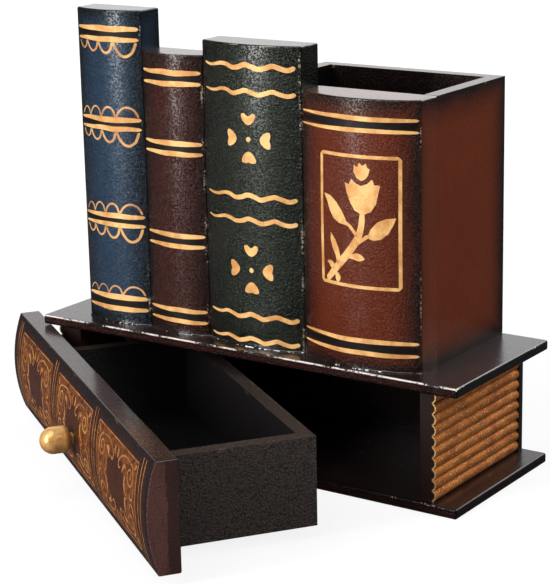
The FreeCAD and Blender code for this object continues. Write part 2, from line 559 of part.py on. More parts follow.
# The drawer, in its own frame: an open box, the bowed front board and the knob on its crest.
PANEL_MIDDLE = f"({FRONT_LEFT} + {FRONT_LENGTH} / 2)"
PANEL_LEVEL = f"({FRONT_BOTTOM} + {FRONT_HEIGHT} / 2)"
KNOB_LEVEL = f"({PANEL_LEVEL} - Sizes.knob_drop)"
BOX_FRONT_REAR = f"({FRONT_BACK_FACE} + Sizes.drawer_inner_front)"
SIDE_HEIGHT = "(Sizes.drawer_height - Sizes.drawer_floor)"
ARM_MIDDLE = "(Sizes.pivot_arm_rear - Sizes.pivot_arm_front) / 2"
LEFT_MIDDLE = f"{BOX_LEFT} + Sizes.drawer_wall / 2"
RIGHT_MIDDLE = f"{BOX_RIGHT} - Sizes.drawer_wall / 2"
BACK_MIDDLE = f"{BOX_REAR} - Sizes.drawer_wall / 2"

drawer_bottom_brads = group("drawer_bottom_brads", [
    fastener(f"drawer_brad_{number}", "brad", size("brad_length"), (x, y, BOX_BOTTOM), DRAWER)
    for number, (x, y) in enumerate([
        (LEFT_MIDDLE, f"{FRONT_BACK_FACE} + Sizes.fastener_margin"),
        (LEFT_MIDDLE, f"{BOX_REAR} - Sizes.fastener_margin"),
        (RIGHT_MIDDLE, f"{FRONT_BACK_FACE} + Sizes.fastener_margin"),
        (RIGHT_MIDDLE, f"{BOX_REAR} - Sizes.fastener_margin"),
        (f"{BOX_LEFT} + {BOX_LENGTH} / 3", BACK_MIDDLE),
        (f"{BOX_RIGHT} - {BOX_LENGTH} / 3", BACK_MIDDLE),
    ], start=1)
])
pivot_block_screws = group("pivot_block_screws", [
    fastener(f"pivot_block_screw_{number}", "screw", size("block_screw_length"),
             (f"{BOX_LEFT} + Sizes.drawer_wall", ARM_MIDDLE, z), DRAWER, POINTING_LEFT)
    for number, z in enumerate([f"{BOX_FLOOR} + {SIDE_HEIGHT} / 4",
                                f"{BOX_TOP} - {SIDE_HEIGHT} / 4"], start=1)
])
front_panel_screws = group("front_panel_screws", [
    fastener(f"front_panel_screw_{number}", "screw", size("panel_screw_length"),
             (x, BOX_FRONT_REAR, PANEL_LEVEL), DRAWER, POINTING_FORWARD)
    for number, x in enumerate([f"{BOX_LEFT} + {BOX_LENGTH} / 6", f"{BOX_RIGHT} - {BOX_LENGTH} / 6"], start=1)
])
FRONT_CREST = f"{FRONT_BACK_FACE} - Sizes.drawer_front_thickness - Sizes.drawer_front_bulge"
KNOB_FOOT = f"{FRONT_CREST} + Sizes.knob_seat"
KNOB_SCREW_LENGTH = ("Sizes.drawer_inner_front + Sizes.drawer_front_thickness"
                     " + Sizes.drawer_front_bulge - Sizes.knob_seat + Sizes.knob_screw_bite")
knob_screw = fastener("knob_screw", "screw", KNOB_SCREW_LENGTH, (PANEL_MIDDLE, BOX_FRONT_REAR, KNOB_LEVEL),
                      DRAWER, POINTING_FORWARD)
turned = turned_knob("turned_knob", (PANEL_MIDDLE, KNOB_FOOT, KNOB_LEVEL), DRAWER, POINTING_FORWARD)
drawer_knob = cut("drawer_knob", turned, [knob_screw])

front_board = drawer_front_board("front_board")
seated = cut("seated_front", front_board, [turned])
drawer_front = cut("drawer_front", seated, [front_panel_screws, knob_screw])
bottom_blank = board("bottom_blank", (BOX_LEFT, FRONT_BACK_FACE, BOX_BOTTOM), BOX_LENGTH,
                     size("drawer_depth"), size("drawer_floor"), DRAWER)
drawer_bottom = cut("drawer_bottom", bottom_blank, [drawer_bottom_brads])
left_side = board("left_side", (BOX_LEFT, FRONT_BACK_FACE, BOX_FLOOR), size("drawer_wall"),
                  size("drawer_depth"), SIDE_HEIGHT, DRAWER)
right_side = board("right_side", (f"{BOX_RIGHT} - Sizes.drawer_wall", FRONT_BACK_FACE, BOX_FLOOR),
                   size("drawer_wall"), size("drawer_depth"), SIDE_HEIGHT, DRAWER)
INNER_LENGTH = f"{BOX_LENGTH} - 2 * Sizes.drawer_wall"
back_side = board("back_side", (f"{BOX_LEFT} + Sizes.drawer_wall", f"{BOX_REAR} - Sizes.drawer_wall",
                                BOX_FLOOR), INNER_LENGTH, size("drawer_wall"), SIDE_HEIGHT, DRAWER)
front_side = board("front_side", (f"{BOX_LEFT} + Sizes.drawer_wall", FRONT_BACK_FACE, BOX_FLOOR),
                   INNER_LENGTH, size("drawer_inner_front"), SIDE_HEIGHT, DRAWER)
drawer_left_side = cut("drawer_left_side", left_side, [drawer_bottom_brads, pivot_block_screws])
drawer_right_side = cut("drawer_right_side", right_side, [drawer_bottom_brads])
drawer_back = cut("drawer_back", back_side, [drawer_bottom_brads])
drawer_box_front = cut("drawer_box_front", front_side, [front_panel_screws, knob_screw])
bore = rod("pivot_bore", ("0", "0", FLOOR), "(Sizes.pin_diameter + 2 * Sizes.pin_bore_gap)", PAGE_HEIGHT,
           DRAWER)
pivot_block = cut("pivot_block", pivot_arm("pivot_blank"), [bore, pivot_block_screws])

NODES = [
    bottom_cover, top_cover, left_page_block, right_page_block, back_board, bottom_brads, top_dowels,
    blue_spine, maroon_spine, green_spine, red_spine, spine_screws,
    pen_box_left_wall, pen_box_right_wall, pen_box_rear_wall, pen_box_brads,
    pivot_pin, lower_pivot_washer, upper_pivot_washer,
    drawer_front, drawer_bottom, drawer_left_side, drawer_right_side, drawer_back, drawer_box_front,
    drawer_bottom_brads, pivot_block, pivot_block_screws, front_panel_screws, drawer_knob, knob_screw,
]

doc.recompute()
for thing in doc.Objects:
    if "Invalid" in thing.State or "Error" in thing.State:
        raise SystemExit(f"{thing.Label} did not recompute")
os.makedirs("parts", exist_ok=True)
for node in NODES:
    if node.Shape.isNull() or not node.Shape.isValid() or not node.Shape.Solids:
        raise SystemExit(f"{node.Label} is not a valid solid")
    node.Shape.exportStep(f"parts/{node.Label}.step")
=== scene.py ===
import json
import math
import random

import bmesh
import bpy
from mathutils import Matrix, Vector


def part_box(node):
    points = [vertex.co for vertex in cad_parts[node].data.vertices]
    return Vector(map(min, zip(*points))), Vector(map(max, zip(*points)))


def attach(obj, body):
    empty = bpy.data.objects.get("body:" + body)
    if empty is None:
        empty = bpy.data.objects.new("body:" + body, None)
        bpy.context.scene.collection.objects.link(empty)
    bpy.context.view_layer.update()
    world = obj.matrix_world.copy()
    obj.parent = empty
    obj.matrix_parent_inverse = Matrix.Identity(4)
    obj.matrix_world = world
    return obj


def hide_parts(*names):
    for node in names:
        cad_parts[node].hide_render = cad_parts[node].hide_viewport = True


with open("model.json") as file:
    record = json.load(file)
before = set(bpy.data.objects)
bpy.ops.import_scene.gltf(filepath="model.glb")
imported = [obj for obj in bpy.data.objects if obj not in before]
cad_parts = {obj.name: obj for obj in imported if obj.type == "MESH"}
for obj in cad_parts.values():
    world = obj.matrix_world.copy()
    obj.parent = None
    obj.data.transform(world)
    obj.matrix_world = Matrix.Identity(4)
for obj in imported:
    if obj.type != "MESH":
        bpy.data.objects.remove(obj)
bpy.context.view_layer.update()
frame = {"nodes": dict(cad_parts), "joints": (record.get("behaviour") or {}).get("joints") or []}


# ----------------------------------------------------------------------------------------------
# Covers.  Two thin boards and a back board between them, stained nearly black and lacquered.
# The lacquer lies thick over the grain, and the arrises are rubbed through to a paler ground, near white on
# the covers as a painted highlight.
SQUARE_ON = 0.7      # a face looks along an axis when that part of its normal is larger
BOWED_FRONT = -0.6   # and a point of a bowed front looks forward when the y part is smaller
LIP = (0.002, 0.0009)  # how far a board's upper front arris reaches back and down
SHARP_TURN = 28.0    # edges of a board that turn by more degrees stay crisp


def colour(red, green, blue):
    """A colour mixed from 0 to 255, as the shader wants it."""
    def linear(value):
        value /= 255
        return value / 12.92 if value <= 0.04045 else ((value + 0.055) / 1.055) ** 2.4

    return linear(red), linear(green), linear(blue), 1.0


class Signal:
    """What a node puts out.  It is added, multiplied and compared in the way that a number is."""

    def __init__(self, socket):
        self.socket, self.tree = socket, socket.id_data

    def all(self):
        """All the outputs of the same node, by name."""
        return {socket.name: Signal(socket) for socket in self.socket.node.outputs}

    def __add__(self, other):
        return calculate("ADD", self, other)

    def __sub__(self, other):
        return calculate("SUBTRACT", self, other)

    def __rsub__(self, other):
        return calculate("SUBTRACT", other, self)

    def __mul__(self, other):
        return calculate("MULTIPLY", self, other)

    def __truediv__(self, other):
        return calculate("DIVIDE", self, other)

    def __pow__(self, other):
        return calculate("POWER", self, other)

    def __abs__(self):
        return calculate("ABSOLUTE", self)

    def __gt__(self, other):
        return calculate("GREATER_THAN", self, other)

    def __lt__(self, other):
        return calculate("LESS_THAN", self, other)


def set_inputs(node, values):
    """Set a node's inputs: a signal is linked, and anything else is put in as it is."""
    for key, value in values.items():
        if isinstance(value, Signal):
            node.id_data.links.new(value.socket, node.inputs[key])
        else:
            node.inputs[key].default_value = value


def add_node(tree, kind, values=None, output=0, **settings):
    """Add a node to a tree, set it up, and give the signal of one of its outputs."""
    node = tree.nodes.new(kind)
    for name, value in settings.items():
        setattr(node, name, value)
    set_inputs(node, values or {})
    return Signal(node.outputs[output])


def tree_of(*values):
    return next(value.tree for value in values if isinstance(value, Signal))


def calculate(operation, first, second=0.0):
    """A sum on two numbers, of which at least one is a signal."""
    return add_node(tree_of(first, second), "ShaderNodeMath", {0: first, 1: second}, operation=operation)


def vector_math(operation, first, second=(0.0, 0.0, 0.0), output=0):
    """The same on two vectors."""
    return add_node(tree_of(first, second), "ShaderNodeVectorMath", {0: first, 1: second}, output,
                    operation=operation)


def larger(first, second):
    return calculate("MAXIMUM", first, second)


def smaller(first, second):
    return calculate("MINIMUM", first, second)


def parts_of(vector):
    return list(add_node(vector.tree, "ShaderNodeSeparateXYZ", {0: vector}).all().values())


def mix_colour(factor, first, second):
    return add_node(factor.tree, "ShaderNodeMix", {0: factor, 6: first, 7: second}, 2, data_type="RGBA")


def remap(value, low, high, to_low=0.0, to_high=1.0):
    """Ease a number from one range into another."""
    return add_node(value.tree, "ShaderNodeMapRange", {0: value, 1: low, 2: high, 3: to_low, 4: to_high},
                    interpolation_type="SMOOTHSTEP")


def noise(vector, scale, detail=2.0, roughness=0.5):
    return add_node(vector.tree, "ShaderNodeTexNoise", {
        "Vector": vector, "Scale": scale, "Detail": detail, "Roughness": roughness}, "Fac")


def bumped(height, depth):
    return add_node(height.tree, "ShaderNodeBump", {"Height": height, "Distance": depth, "Strength": 1.0})


def new_group(name, inputs, outputs):
    """A shader group: its tree, its inputs by name, and the node that takes what it puts out."""
    tree = bpy.data.node_groups.new(name, "ShaderNodeTree")
    for label, (kind, usual) in inputs.items():
        socket = tree.interface.new_socket(label, in_out="INPUT", socket_type=f"NodeSocket{kind}")
        socket.default_value = usual
    for label, kind in outputs.items():
        tree.interface.new_socket(label, in_out="OUTPUT", socket_type=f"NodeSocket{kind}")
    return tree, add_node(tree, "NodeGroupInput").all(), tree.nodes.new("NodeGroupOutput")


def make_edge_distance():
    """How far a point of a board's face is from the nearest arris, in metres."""
    inputs = dict.fromkeys(("Vector", "Normal", "Low", "High"), ("Vector", (0.0, 0.0, 0.0)))
    tree, given, out = new_group("edge_distance", inputs, {"Distance": "Float"})
    nearer = vector_math("MINIMUM", vector_math("SUBTRACT", given["Vector"], given["Low"]),
                         vector_math("SUBTRACT", given["High"], given["Vector"]))
    facing = vector_math("ABSOLUTE", given["Normal"])
    reach = [near + (turned > SQUARE_ON) for near, turned in zip(parts_of(nearer), parts_of(facing))]
    set_inputs(out, {"Distance": smaller(smaller(reach[0], reach[1]), reach[2])})
    return tree


def make_aged_lacquer():
    """Brushed lacquer: clouded colour, burnished dark at the arrises, a broad painted shade, pebbled under
    its gloss.
    """
    tree, given, out = new_group("aged_lacquer", {
        "Vector": ("Vector", (0.0, 0.0, 0.0)), "Distance": ("Float", 1.0),
        "Colour": ("Color", (0.1, 0.1, 0.1, 1.0)), "Shade": ("Color", (0.01, 0.01, 0.01, 1.0)),
        "Shade width": ("Float", 0.004), "Clouding": ("Float", 0.5), "Gloss": ("Float", 0.7),
    }, {"Colour": "Color", "Roughness": "Float", "Height": "Float"})
    clouds = noise(given["Vector"], 55.0, 4.0, 0.6)
    streaks = noise(given["Vector"], 240.0, 3.0, 0.6)
    pebbles = remap(noise(given["Vector"], 1150.0, 2.0, 0.6), 0.36, 0.64)
    wander = (clouds - 0.5) * given["Shade width"]
    ratio = (given["Distance"] + wander * 1.4) / given["Shade width"]
    # A broad band of painted shade darkens the lacquer towards every arris; the narrow band at it is the
    # burnishing.
    broad_painted_shade = mix_colour(remap(ratio, 0.6, 2.6, 0.55, 0.0), given["Colour"], given["Shade"])
    shaded = mix_colour(remap(ratio, 0.05, 1.1, 1.0, 0.0), broad_painted_shade, given["Shade"])
    strength = remap(clouds * 0.7 + streaks * 0.3, 0.38, 0.66, 0.0, 0.8) * given["Clouding"]
    set_inputs(out, {"Colour": mix_colour(strength, shaded, given["Shade"]),
                     "Roughness": (1.0 - given["Gloss"]) * 0.75 + streaks * 0.16,
                     "Height": pebbles + streaks * 0.25})
    return tree


def make_rubbed_arris():
    """A mask of the flecks where an arris is rubbed through."""
    tree, given, out = new_group("rubbed_arris", {
        "Vector": ("Vector", (0.0, 0.0, 0.0)), "Distance": ("Float", 1.0), "Width": ("Float", 0.0008),
        "Amount": ("Float", 0.5)}, {"Mask": "Float"})
    patches = noise(given["Vector"], 90.0)
    flecks = noise(given["Vector"], 1000.0, 3.0, 0.7)
    needed = 1.05 - given["Amount"] * 0.6
    pale_flecks = remap(patches * 0.6 + flecks * 0.6 - needed, -0.02, 0.04)
    near = remap(given["Distance"] / given["Width"], 0.6, 1.3, 1.0, 0.0)
    set_inputs(out, {"Mask": pale_flecks * near})
    return tree


edge_distance = make_edge_distance()
aged_lacquer = make_aged_lacquer()
rubbed_arris = make_rubbed_arris()


def use_group(group, values):
    """Put a group into a material, and give its outputs by name."""
    return add_node(values["Vector"].tree, "ShaderNodeGroup", values, node_tree=group).all()


def from_arris(vector, normal, low, high):
    values = {"Vector": vector, "Normal": normal, "Low": low, "High": high}
    return use_group(edge_distance, values)["Distance"]


def rubbed(vector, distance, width, amount):
    return use_group(rubbed_arris, {"Vector": vector, "Distance": distance, "Width": width,
                                    "Amount": amount})["Mask"]


def new_material(name):
    """A material, the shader that ends it, and the coordinates of its surface by name."""
    material = bpy.data.materials.new(name)
    material.use_nodes = True
    tree = material.node_tree
    return material, tree.nodes["Principled BSDF"], add_node(tree, "ShaderNodeTexCoord").all()


def facing_in(vector, normal, low, high):
    """A mask of the faces that look at the upright axis in the middle of a box."""
    middle = ((low[0] + high[0]) / 2, (low[1] + high[1]) / 2, 0.0)
    inward = vector_math("SUBTRACT", middle, vector)
    flat = vector_math("MULTIPLY", normal, (1.0, 1.0, 0.0))
    return remap(vector_math("DOT_PRODUCT", inward, flat, "Value"), 0.001, 0.003)


def lacquer(name, body, shade, low, high, shade_width=0.004, clouding=0.5, gloss=0.7, rub=0.4,
            fleck_colour=(150, 120, 100), rub_width=0.0008, inside=None, front=None, shine=0.44,
            top_shine=1.0, lip=0.0):
    """A lacquered board between two corners, in metres; its inside or its front may differ in colour.

    The lip is how many more pale flecks its upper front arris gets than the others, as wear and as a painted
    highlight.
    """
    material, shader, where = new_material(name)
    vector, normal = where["Object"], where["Normal"]
    distance = from_arris(vector, normal, low, high)
    facing, place = parts_of(normal), parts_of(vector)
    forward = facing[1] < BOWED_FRONT
    coat = use_group(aged_lacquer, {
        "Vector": vector, "Distance": distance, "Shade": colour(*shade),
        "Colour": mix_colour(forward, colour(*body), colour(*(front or body))),
        "Shade width": shade_width, "Clouding": clouding, "Gloss": gloss})
    # More pale flecks along the upper front arris: wear, and on the top cover a painted highlight line.
    at_lip = (place[1] < low[1] + LIP[0]) * (place[2] > high[2] - LIP[1])
    pale_flecks = rubbed(vector, distance, rub_width, at_lip * lip + rub)
    paint = coat["Colour"]
    if inside:
        paint = mix_colour(facing_in(vector, normal, low, high), paint, colour(*inside))
    grain = remap(noise(vector, 1500.0, 1.0), 0.42, 0.66, 0.2, 2.6)
    set_inputs(shader, {
        "Base Color": mix_colour(pale_flecks, paint, colour(*fleck_colour)),
        "Roughness": coat["Roughness"],
        "Specular IOR Level": 0.5 * shine,
        "Specular Tint": (*(0.3 + 0.7 * part / max(body) for part in body), 1.0),
        "Coat Weight": forward * grain * shine + (facing[2] > SQUARE_ON) * top_shine,
        "Coat Roughness": 0.24,
        "Normal": bumped(coat["Height"] * larger(forward, 0.3), 0.00015)})
    return material


def crisp_arrises(mesh, angle):
    """Shade a mesh smooth, but keep each edge that turns by more than an angle, in degrees, sharp."""
    work = bmesh.new()
    work.from_mesh(mesh)
    for face in work.faces:
        face.smooth = True
    for edge in work.edges:
        edge.smooth = len(edge.link_faces) == 2 and edge.calc_face_angle() < math.radians(angle)
    work.to_mesh(mesh)
    work.free()


def new_object(name, data):
    piece = bpy.data.objects.new(name, data)
    bpy.context.scene.collection.objects.link(piece)
    return piece


def board_from(name, node, material, body, rounding=0.0):
    """A board with the built shape, its arrises eased, in place of the plain one."""
    mesh = frame["nodes"][node].data.copy()
    mesh.name = name
    work = bmesh.new()
    work.from_mesh(mesh)
    bmesh.ops.remove_doubles(work, verts=work.verts, dist=1e-6)
    bmesh.ops.dissolve_limit(work, angle_limit=math.radians(0.3), verts=work.verts, edges=work.edges)
    if not rounding:
        bmesh.ops.triangulate(work, faces=work.faces)
    work.to_mesh(mesh)
    work.free()
    crisp_arrises(mesh, SHARP_TURN)
    mesh.materials.clear()
    mesh.materials.append(material)
    piece = new_object(name, mesh)
    if rounding:
        ease = piece.modifiers.new("eased_arrises", "BEVEL")
        ease.width = rounding
        ease.segments = 3
        ease.limit_method = "ANGLE"
        ease.angle_limit = math.radians(40)
        ease.harden_normals = True
        ease.use_clamp_overlap = True
    piece.modifiers.new("flat_faces", "WEIGHTED_NORMAL").keep_sharp = True
    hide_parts(node)
    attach(piece, body)
    return piece


# The covers' flecks are near white, so along their arrises, and most along the top cover's upper front arris,
# they paint a highlight as well as wear.
for cover, top_shine, lip in (("bottom_cover", 0.5, 0.1), ("top_cover", 1.0, 0.35)):
    paint = lacquer(f"{cover}_lacquer", (30, 17, 18), (12, 8, 9), *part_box(cover), shade_width=0.0018,
                    clouding=0.5, gloss=0.78, rub=0.44, rub_width=0.0005, fleck_colour=(236, 224, 214),
                    front=(62, 25, 16), shine=0.2, top_shine=top_shine, lip=lip)
    board_from(f"{cover}_board", cover, paint, "stand")
back_paint = lacquer("back_board_lacquer", (26, 16, 16), (12, 8, 9), *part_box("back_board"), clouding=0.7,
                     gloss=0.5, rub=0.3)
board_from("back_board_panel", "back_board", back_paint, "stand", 0.0003)


# ----------------------------------------------------------------------------------------------
# Page blocks.  Ribbed boards that stand for the page edges of the lying book.  Their ribs are
# painted with gilt brushed on from end to end; the ends of the boards are left dark brown.
RIBS = 10
RIB_RISE = 0.0013


def make_brushed_gilt():
    """Gold paint put on with a brush: streaks along one way, thin where it ran dry."""
    tree, given, out = new_group("brushed_gilt", {
        "Vector": ("Vector", (0.0, 0.0, 0.0)), "Gold": ("Color", (0.6, 0.4, 0.15, 1.0)),
        "Pale": ("Color", (0.9, 0.7, 0.4, 1.0)), "Ground": ("Color", (0.02, 0.01, 0.01, 1.0)),
        "Dryness": ("Float", 0.3),
    }, {"Colour": "Color", "Metallic": "Float", "Roughness": "Float", "Height": "Float"})
    patches = noise(given["Vector"], 130.0, 3.0, 0.6)
    hairs = noise(given["Vector"], 900.0, 3.0, 0.65)
    body = mix_colour(remap(patches, 0.35, 0.65), given["Gold"], given["Pale"])
    limit = given["Dryness"] * 0.3 + 0.28
    cover = remap(patches * 0.4 + hairs * 0.6 - limit, -0.05, 0.05)
    set_inputs(out, {"Colour": mix_colour(cover, given["Ground"], body), "Metallic": cover * 0.65,
                     "Roughness": 0.62 - hairs * 0.22, "Height": hairs})
    return tree


brushed_gilt = make_brushed_gilt()


def gilt_from(vector, gold, pale, ground, dryness):
    return use_group(brushed_gilt, {"Vector": vector, "Gold": colour(*gold), "Pale": colour(*pale),
                                    "Ground": colour(*ground), "Dryness": dryness})


def stretched(vector, *scale):
    return add_node(vector.tree, "ShaderNodeMapping", {"Vector": vector, "Scale": scale})


def page_gilt(name, node, crest_side):
    """Gilt ribs with dark furrows and painted glints; a dark end, its rib edges pale gold and painted
    highlight.
    """
    low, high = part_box(node)
    pitch = (high[2] - low[2]) / RIBS
    material, shader, where = new_material(name)
    vector = where["Object"]
    parts, facing = parts_of(vector), parts_of(where["Normal"])
    depth = abs(parts[0] - (low, high)[crest_side][0])
    ragged = noise(vector, 420.0) * 0.0007
    gilt = gilt_from(stretched(vector, 2.2, 1.0, 2.2), (162, 88, 30), (194, 118, 50), (128, 70, 28), 0.36)
    # Pale specks painted on the ribs' gilt stand for its glints.
    painted_glints = remap(noise(vector, 1500.0), 0.56, 0.66, 0.0, 0.75)
    glinting_gilt = mix_colour(painted_glints, gilt["Colour"], colour(244, 196, 132))
    furrow = remap(depth + ragged, 0.0011, 0.0021, 0.0, 0.85)
    ribbed = mix_colour(furrow, glinting_gilt, colour(80, 40, 16))
    end_on = abs(facing[1]) > SQUARE_ON
    # On an end, the gold follows the round of each rib: how deep a point lies under its skin.
    radius = (pitch ** 2 / 4 + RIB_RISE ** 2) / (2 * RIB_RISE)
    up = (calculate("FRACT", (parts[2] - low[2]) / pitch) - 0.5) * pitch
    back = radius - depth
    skin = radius - calculate("SQRT", up * up + back * back) + ragged
    caught = remap(skin, 0.0006, 0.0010, 1.0, 0.0) * remap(depth, RIB_RISE, 1.4 * RIB_RISE, 1.0, 0.0)
    brown = end_on * (1.0 - caught)
    # On an end, each rib's rim is painted pale gold: partly the gold over the arris, partly a painted
    # highlight.
    gilt_and_rim_highlight = mix_colour(end_on, ribbed, colour(232, 190, 128))
    end_brown = mix_colour(noise(vector, 160.0, 3.0), colour(40, 17, 11), colour(24, 11, 8))
    set_inputs(shader, {
        "Base Color": mix_colour(brown, gilt_and_rim_highlight, end_brown), "Metallic": gilt["Metallic"] * (1.0 - brown),
        "Roughness": gilt["Roughness"], "Specular IOR Level": 0.25,
        "Normal": bumped(gilt["Height"], 0.00025)})
    return material


for crest_side, end in enumerate(("left", "right")):
    board_from(f"{end}_page_ribs", f"{end}_page_block",
               page_gilt(f"{end}_page_gilt", f"{end}_page_block", crest_side), "stand")


# ----------------------------------------------------------------------------------------------
# Upright spines.  Four solid boards with bowed fronts, each glued and screwed to the upper cover.
# They are lacquered in their own colours and rubbed dark along every arris, inside a painted shade that is
# widest on the right.
# The right arris's dark band and rubbing start a little inside its corner, which widens the painted shade on
# the right side of every spine but the red.
RIGHT_SHADE_INSET = 0.0005   # the right arris is rubbed a little inside its corner
pen_box_nodes = ("red_spine", "pen_box_right_wall", "pen_box_rear_wall")
spine_paints = {
    "blue": dict(body=(30, 50, 70), shade=(9, 10, 13), shade_width=0.0046, clouding=0.35),
    "maroon": dict(body=(47, 15, 9), shade=(16, 8, 7), shade_width=0.0040, clouding=0.35),
    "green": dict(body=(15, 18, 12), shade=(8, 8, 7), shade_width=0.0060, clouding=0.45),
    "red": dict(body=(110, 46, 20), front=(92, 34, 13), inside=(14, 10, 10), shade=(20, 11, 10),
                shade_width=0.0050, clouding=0.2),
}


def joined_box(*names):
    """The box round several nodes."""
    corners = [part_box(name) for name in names]
    return (tuple(min(corner[0][axis] for corner in corners) for axis in range(3)),
            tuple(max(corner[1][axis] for corner in corners) for axis in range(3)))


for book, paint in spine_paints.items():
    low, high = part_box(f"{book}_spine")
    high = joined_box(*pen_box_nodes)[1] if book == "red" else (high[0] - RIGHT_SHADE_INSET, high[1], high[2])
    varnish = lacquer(f"{book}_spine_lacquer", low=low, high=high, gloss=0.8, rub=0.6, rub_width=0.0005,
                      fleck_colour=(150, 134, 120), **paint)
    board_from(f"{book}_spine_board", f"{book}_spine", varnish, "stand")


# ----------------------------------------------------------------------------------------------
# Lacquer beads.  Where the spines meet the cover, lacquer has run down and dried in lumps that
# catch the light.
FOOT_HEIGHT = 0.0008     # a vertex lower than this belongs to a spine's foot
SIDE_GAP = 0.00005       # and one this near the right side belongs to that side
BEAD_STEP = 0.0006
BEAD_THICKNESS = (0.00012, 0.0012)
BEAD_SIDES = 8


def foot_of(node):
    """The bowed line of a spine's foot, from left to right: the near side of its lowest vertices."""
    low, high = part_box(node)
    hull = []
    for x, y in sorted({(vertex.co.x, vertex.co.y) for vertex in frame["nodes"][node].data.vertices
                        if vertex.co.z < low[2] + FOOT_HEIGHT and vertex.co.x < high[0] - SIDE_GAP}):
        while len(hull) > 1 and ((hull[-1][0] - hull[-2][0]) * (y - hull[-2][1])
                                 <= (hull[-1][1] - hull[-2][1]) * (x - hull[-2][0])):
            hull.pop()
        hull.append((x, y))
    return [Vector((x, y, low[2])) for x, y in hull]


def lumpy_bead(work, line, chance):
    """A closed bead along a line, its thickness swelling and falling at random."""
    thinnest, thickest = BEAD_THICKNESS
    walk, rings = [], []
    for start, end in zip(line, line[1:]):
        steps = max(1, round((end - start).length / BEAD_STEP))
        walk += [start.lerp(end, step / steps) for step in range(steps)]
    walk.append(line[-1])
    swell = [chance.random() ** 2 for _ in walk]
    for index, middle in enumerate(walk):
        near = swell[max(0, index - 2):index + 3]
        radius = thinnest + (thickest - thinnest) * sum(near) / len(near)
        radius *= 0.15 if index in (0, len(walk) - 1) else 1.0
        rings.append([work.verts.new(middle + radius * Vector((0, -math.cos(angle), math.sin(angle))))
                      for angle in (2 * math.pi * side / BEAD_SIDES for side in range(BEAD_SIDES))])
    for before, after in zip(rings, rings[1:]):
        for side in range(BEAD_SIDES):
            work.faces.new((before[side], before[side - 1], after[side - 1], after[side]))
    work.faces.new(rings[0])
    work.faces.new(rings[-1][::-1])


def mesh_from(work, name):
    mesh = bpy.data.meshes.new(name)
    work.to_mesh(mesh)
    work.free()
    return mesh


bead_work = bmesh.new()
bead_chance = random.Random(11)
for book in spine_paints:
    lumpy_bead(bead_work, foot_of(f"{book}_spine"), bead_chance)
bmesh.ops.recalc_face_normals(bead_work, faces=bead_work.faces)
bead_mesh = mesh_from(bead_work, "lacquer_beads")
bead_mesh.shade_smooth()
bead_lacquer, shader, where = new_material("bead_lacquer")
lumps = noise(where["Object"], 900.0)
set_inputs(shader, {"Base Color": mix_colour(lumps, colour(34, 18, 14), colour(14, 9, 9)), "Roughness": 0.16,
                    "Coat Weight": 1.0, "Coat Roughness": 0.06, "Normal": bumped(lumps, 0.00012)})
bead_mesh.materials.append(bead_lacquer)
beads = new_object("lacquer_beads", bead_mesh)
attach(beads, "stand")


# ----------------------------------------------------------------------------------------------
# Gilding on the spines.  Bands, scallops, petals and a tulip, laid with a pointed brush and gold
# paint.  Each stroke is drawn flat, in millimetres, and then laid on the bowed face of its board.
GILT_FILM = 0.00005     # how far the gold stands off the lacquer
EDGING_FILM = 0.00002   # and the black beneath it
FILM_ROOT = 0.00004     # how deep both are rooted in the board
STAND_OFF = 0.01        # how far ahead of a board its drawing is made
LANDING = 0.45          # the part of a stroke in which the brush comes down
LIFTING = 0.3           # and the part in which it lifts
SWELL = 0.6             # how slowly the stroke's width follows
SPINE_WIDTH = {"blue": 31.0, "maroon": 28.5, "green": 44.0, "red": 50.0}


def smooth_path(points, step):
    """A flowing line through given points, as evenly close points."""
    points = [Vector(point) for point in points]
    ends = [2 * points[0] - points[1], *points, 2 * points[-1] - points[-2]]
    path = []
    for before, start, end, after in zip(ends, ends[1:], ends[2:], ends[3:]):
        steps = max(2, round((end - start).length / step))
        for index in range(steps):
            t = index / steps
            path.append(0.5 * (2 * start + (end - before) * t
                               + (2 * before - 5 * start + 4 * end - after) * t ** 2
                               + (3 * start - before - 3 * end + after) * t ** 3))
    return path + [points[-1]]


def tapered(width, start=0.25, end=0.5):
    """A brush stroke's width along its length: thin where the brush lands and lifts."""
    def at(t):
        rise = min(1.0, start + (1 - start) * (t / LANDING) ** SWELL) if t < LANDING else 1.0
        fall = min(1.0, end + (1 - end) * ((1 - t) / LIFTING) ** SWELL) if t > 1 - LIFTING else 1.0
        return width * rise * fall
    return at


def leaf(width, belly):
    """A leaf's width along its length, broadest at its belly."""
    def at(t):
        shape = math.sin(math.pi * (t ** (math.log(0.5) / math.log(belly))))
        return max(0.12, width * shape ** 0.8)
    return at


def brush_stroke(points, width, step=0.7, across=2):
    """A stroke of paint through given points, as rows of flat points with rounded ends."""
    path = smooth_path(points, step)
    rows = []
    for index, point in enumerate(path):
        ahead, behind = path[min(index + 1, len(path) - 1)], path[max(index - 1, 0)]
        side = Vector((behind.y - ahead.y, ahead.x - behind.x)).normalized()
        t = index / (len(path) - 1)
        half = (width(t) if callable(width) else width) / 2
        nearest_end = min((point - path[0]).length, (point - path[-1]).length)
        if nearest_end < half:
            half *= max(0.25, math.sqrt(1 - (1 - nearest_end / half) ** 2))
        rows.append([point + side * half * (2 * k / across - 1) for k in range(across + 1)])
    return rows


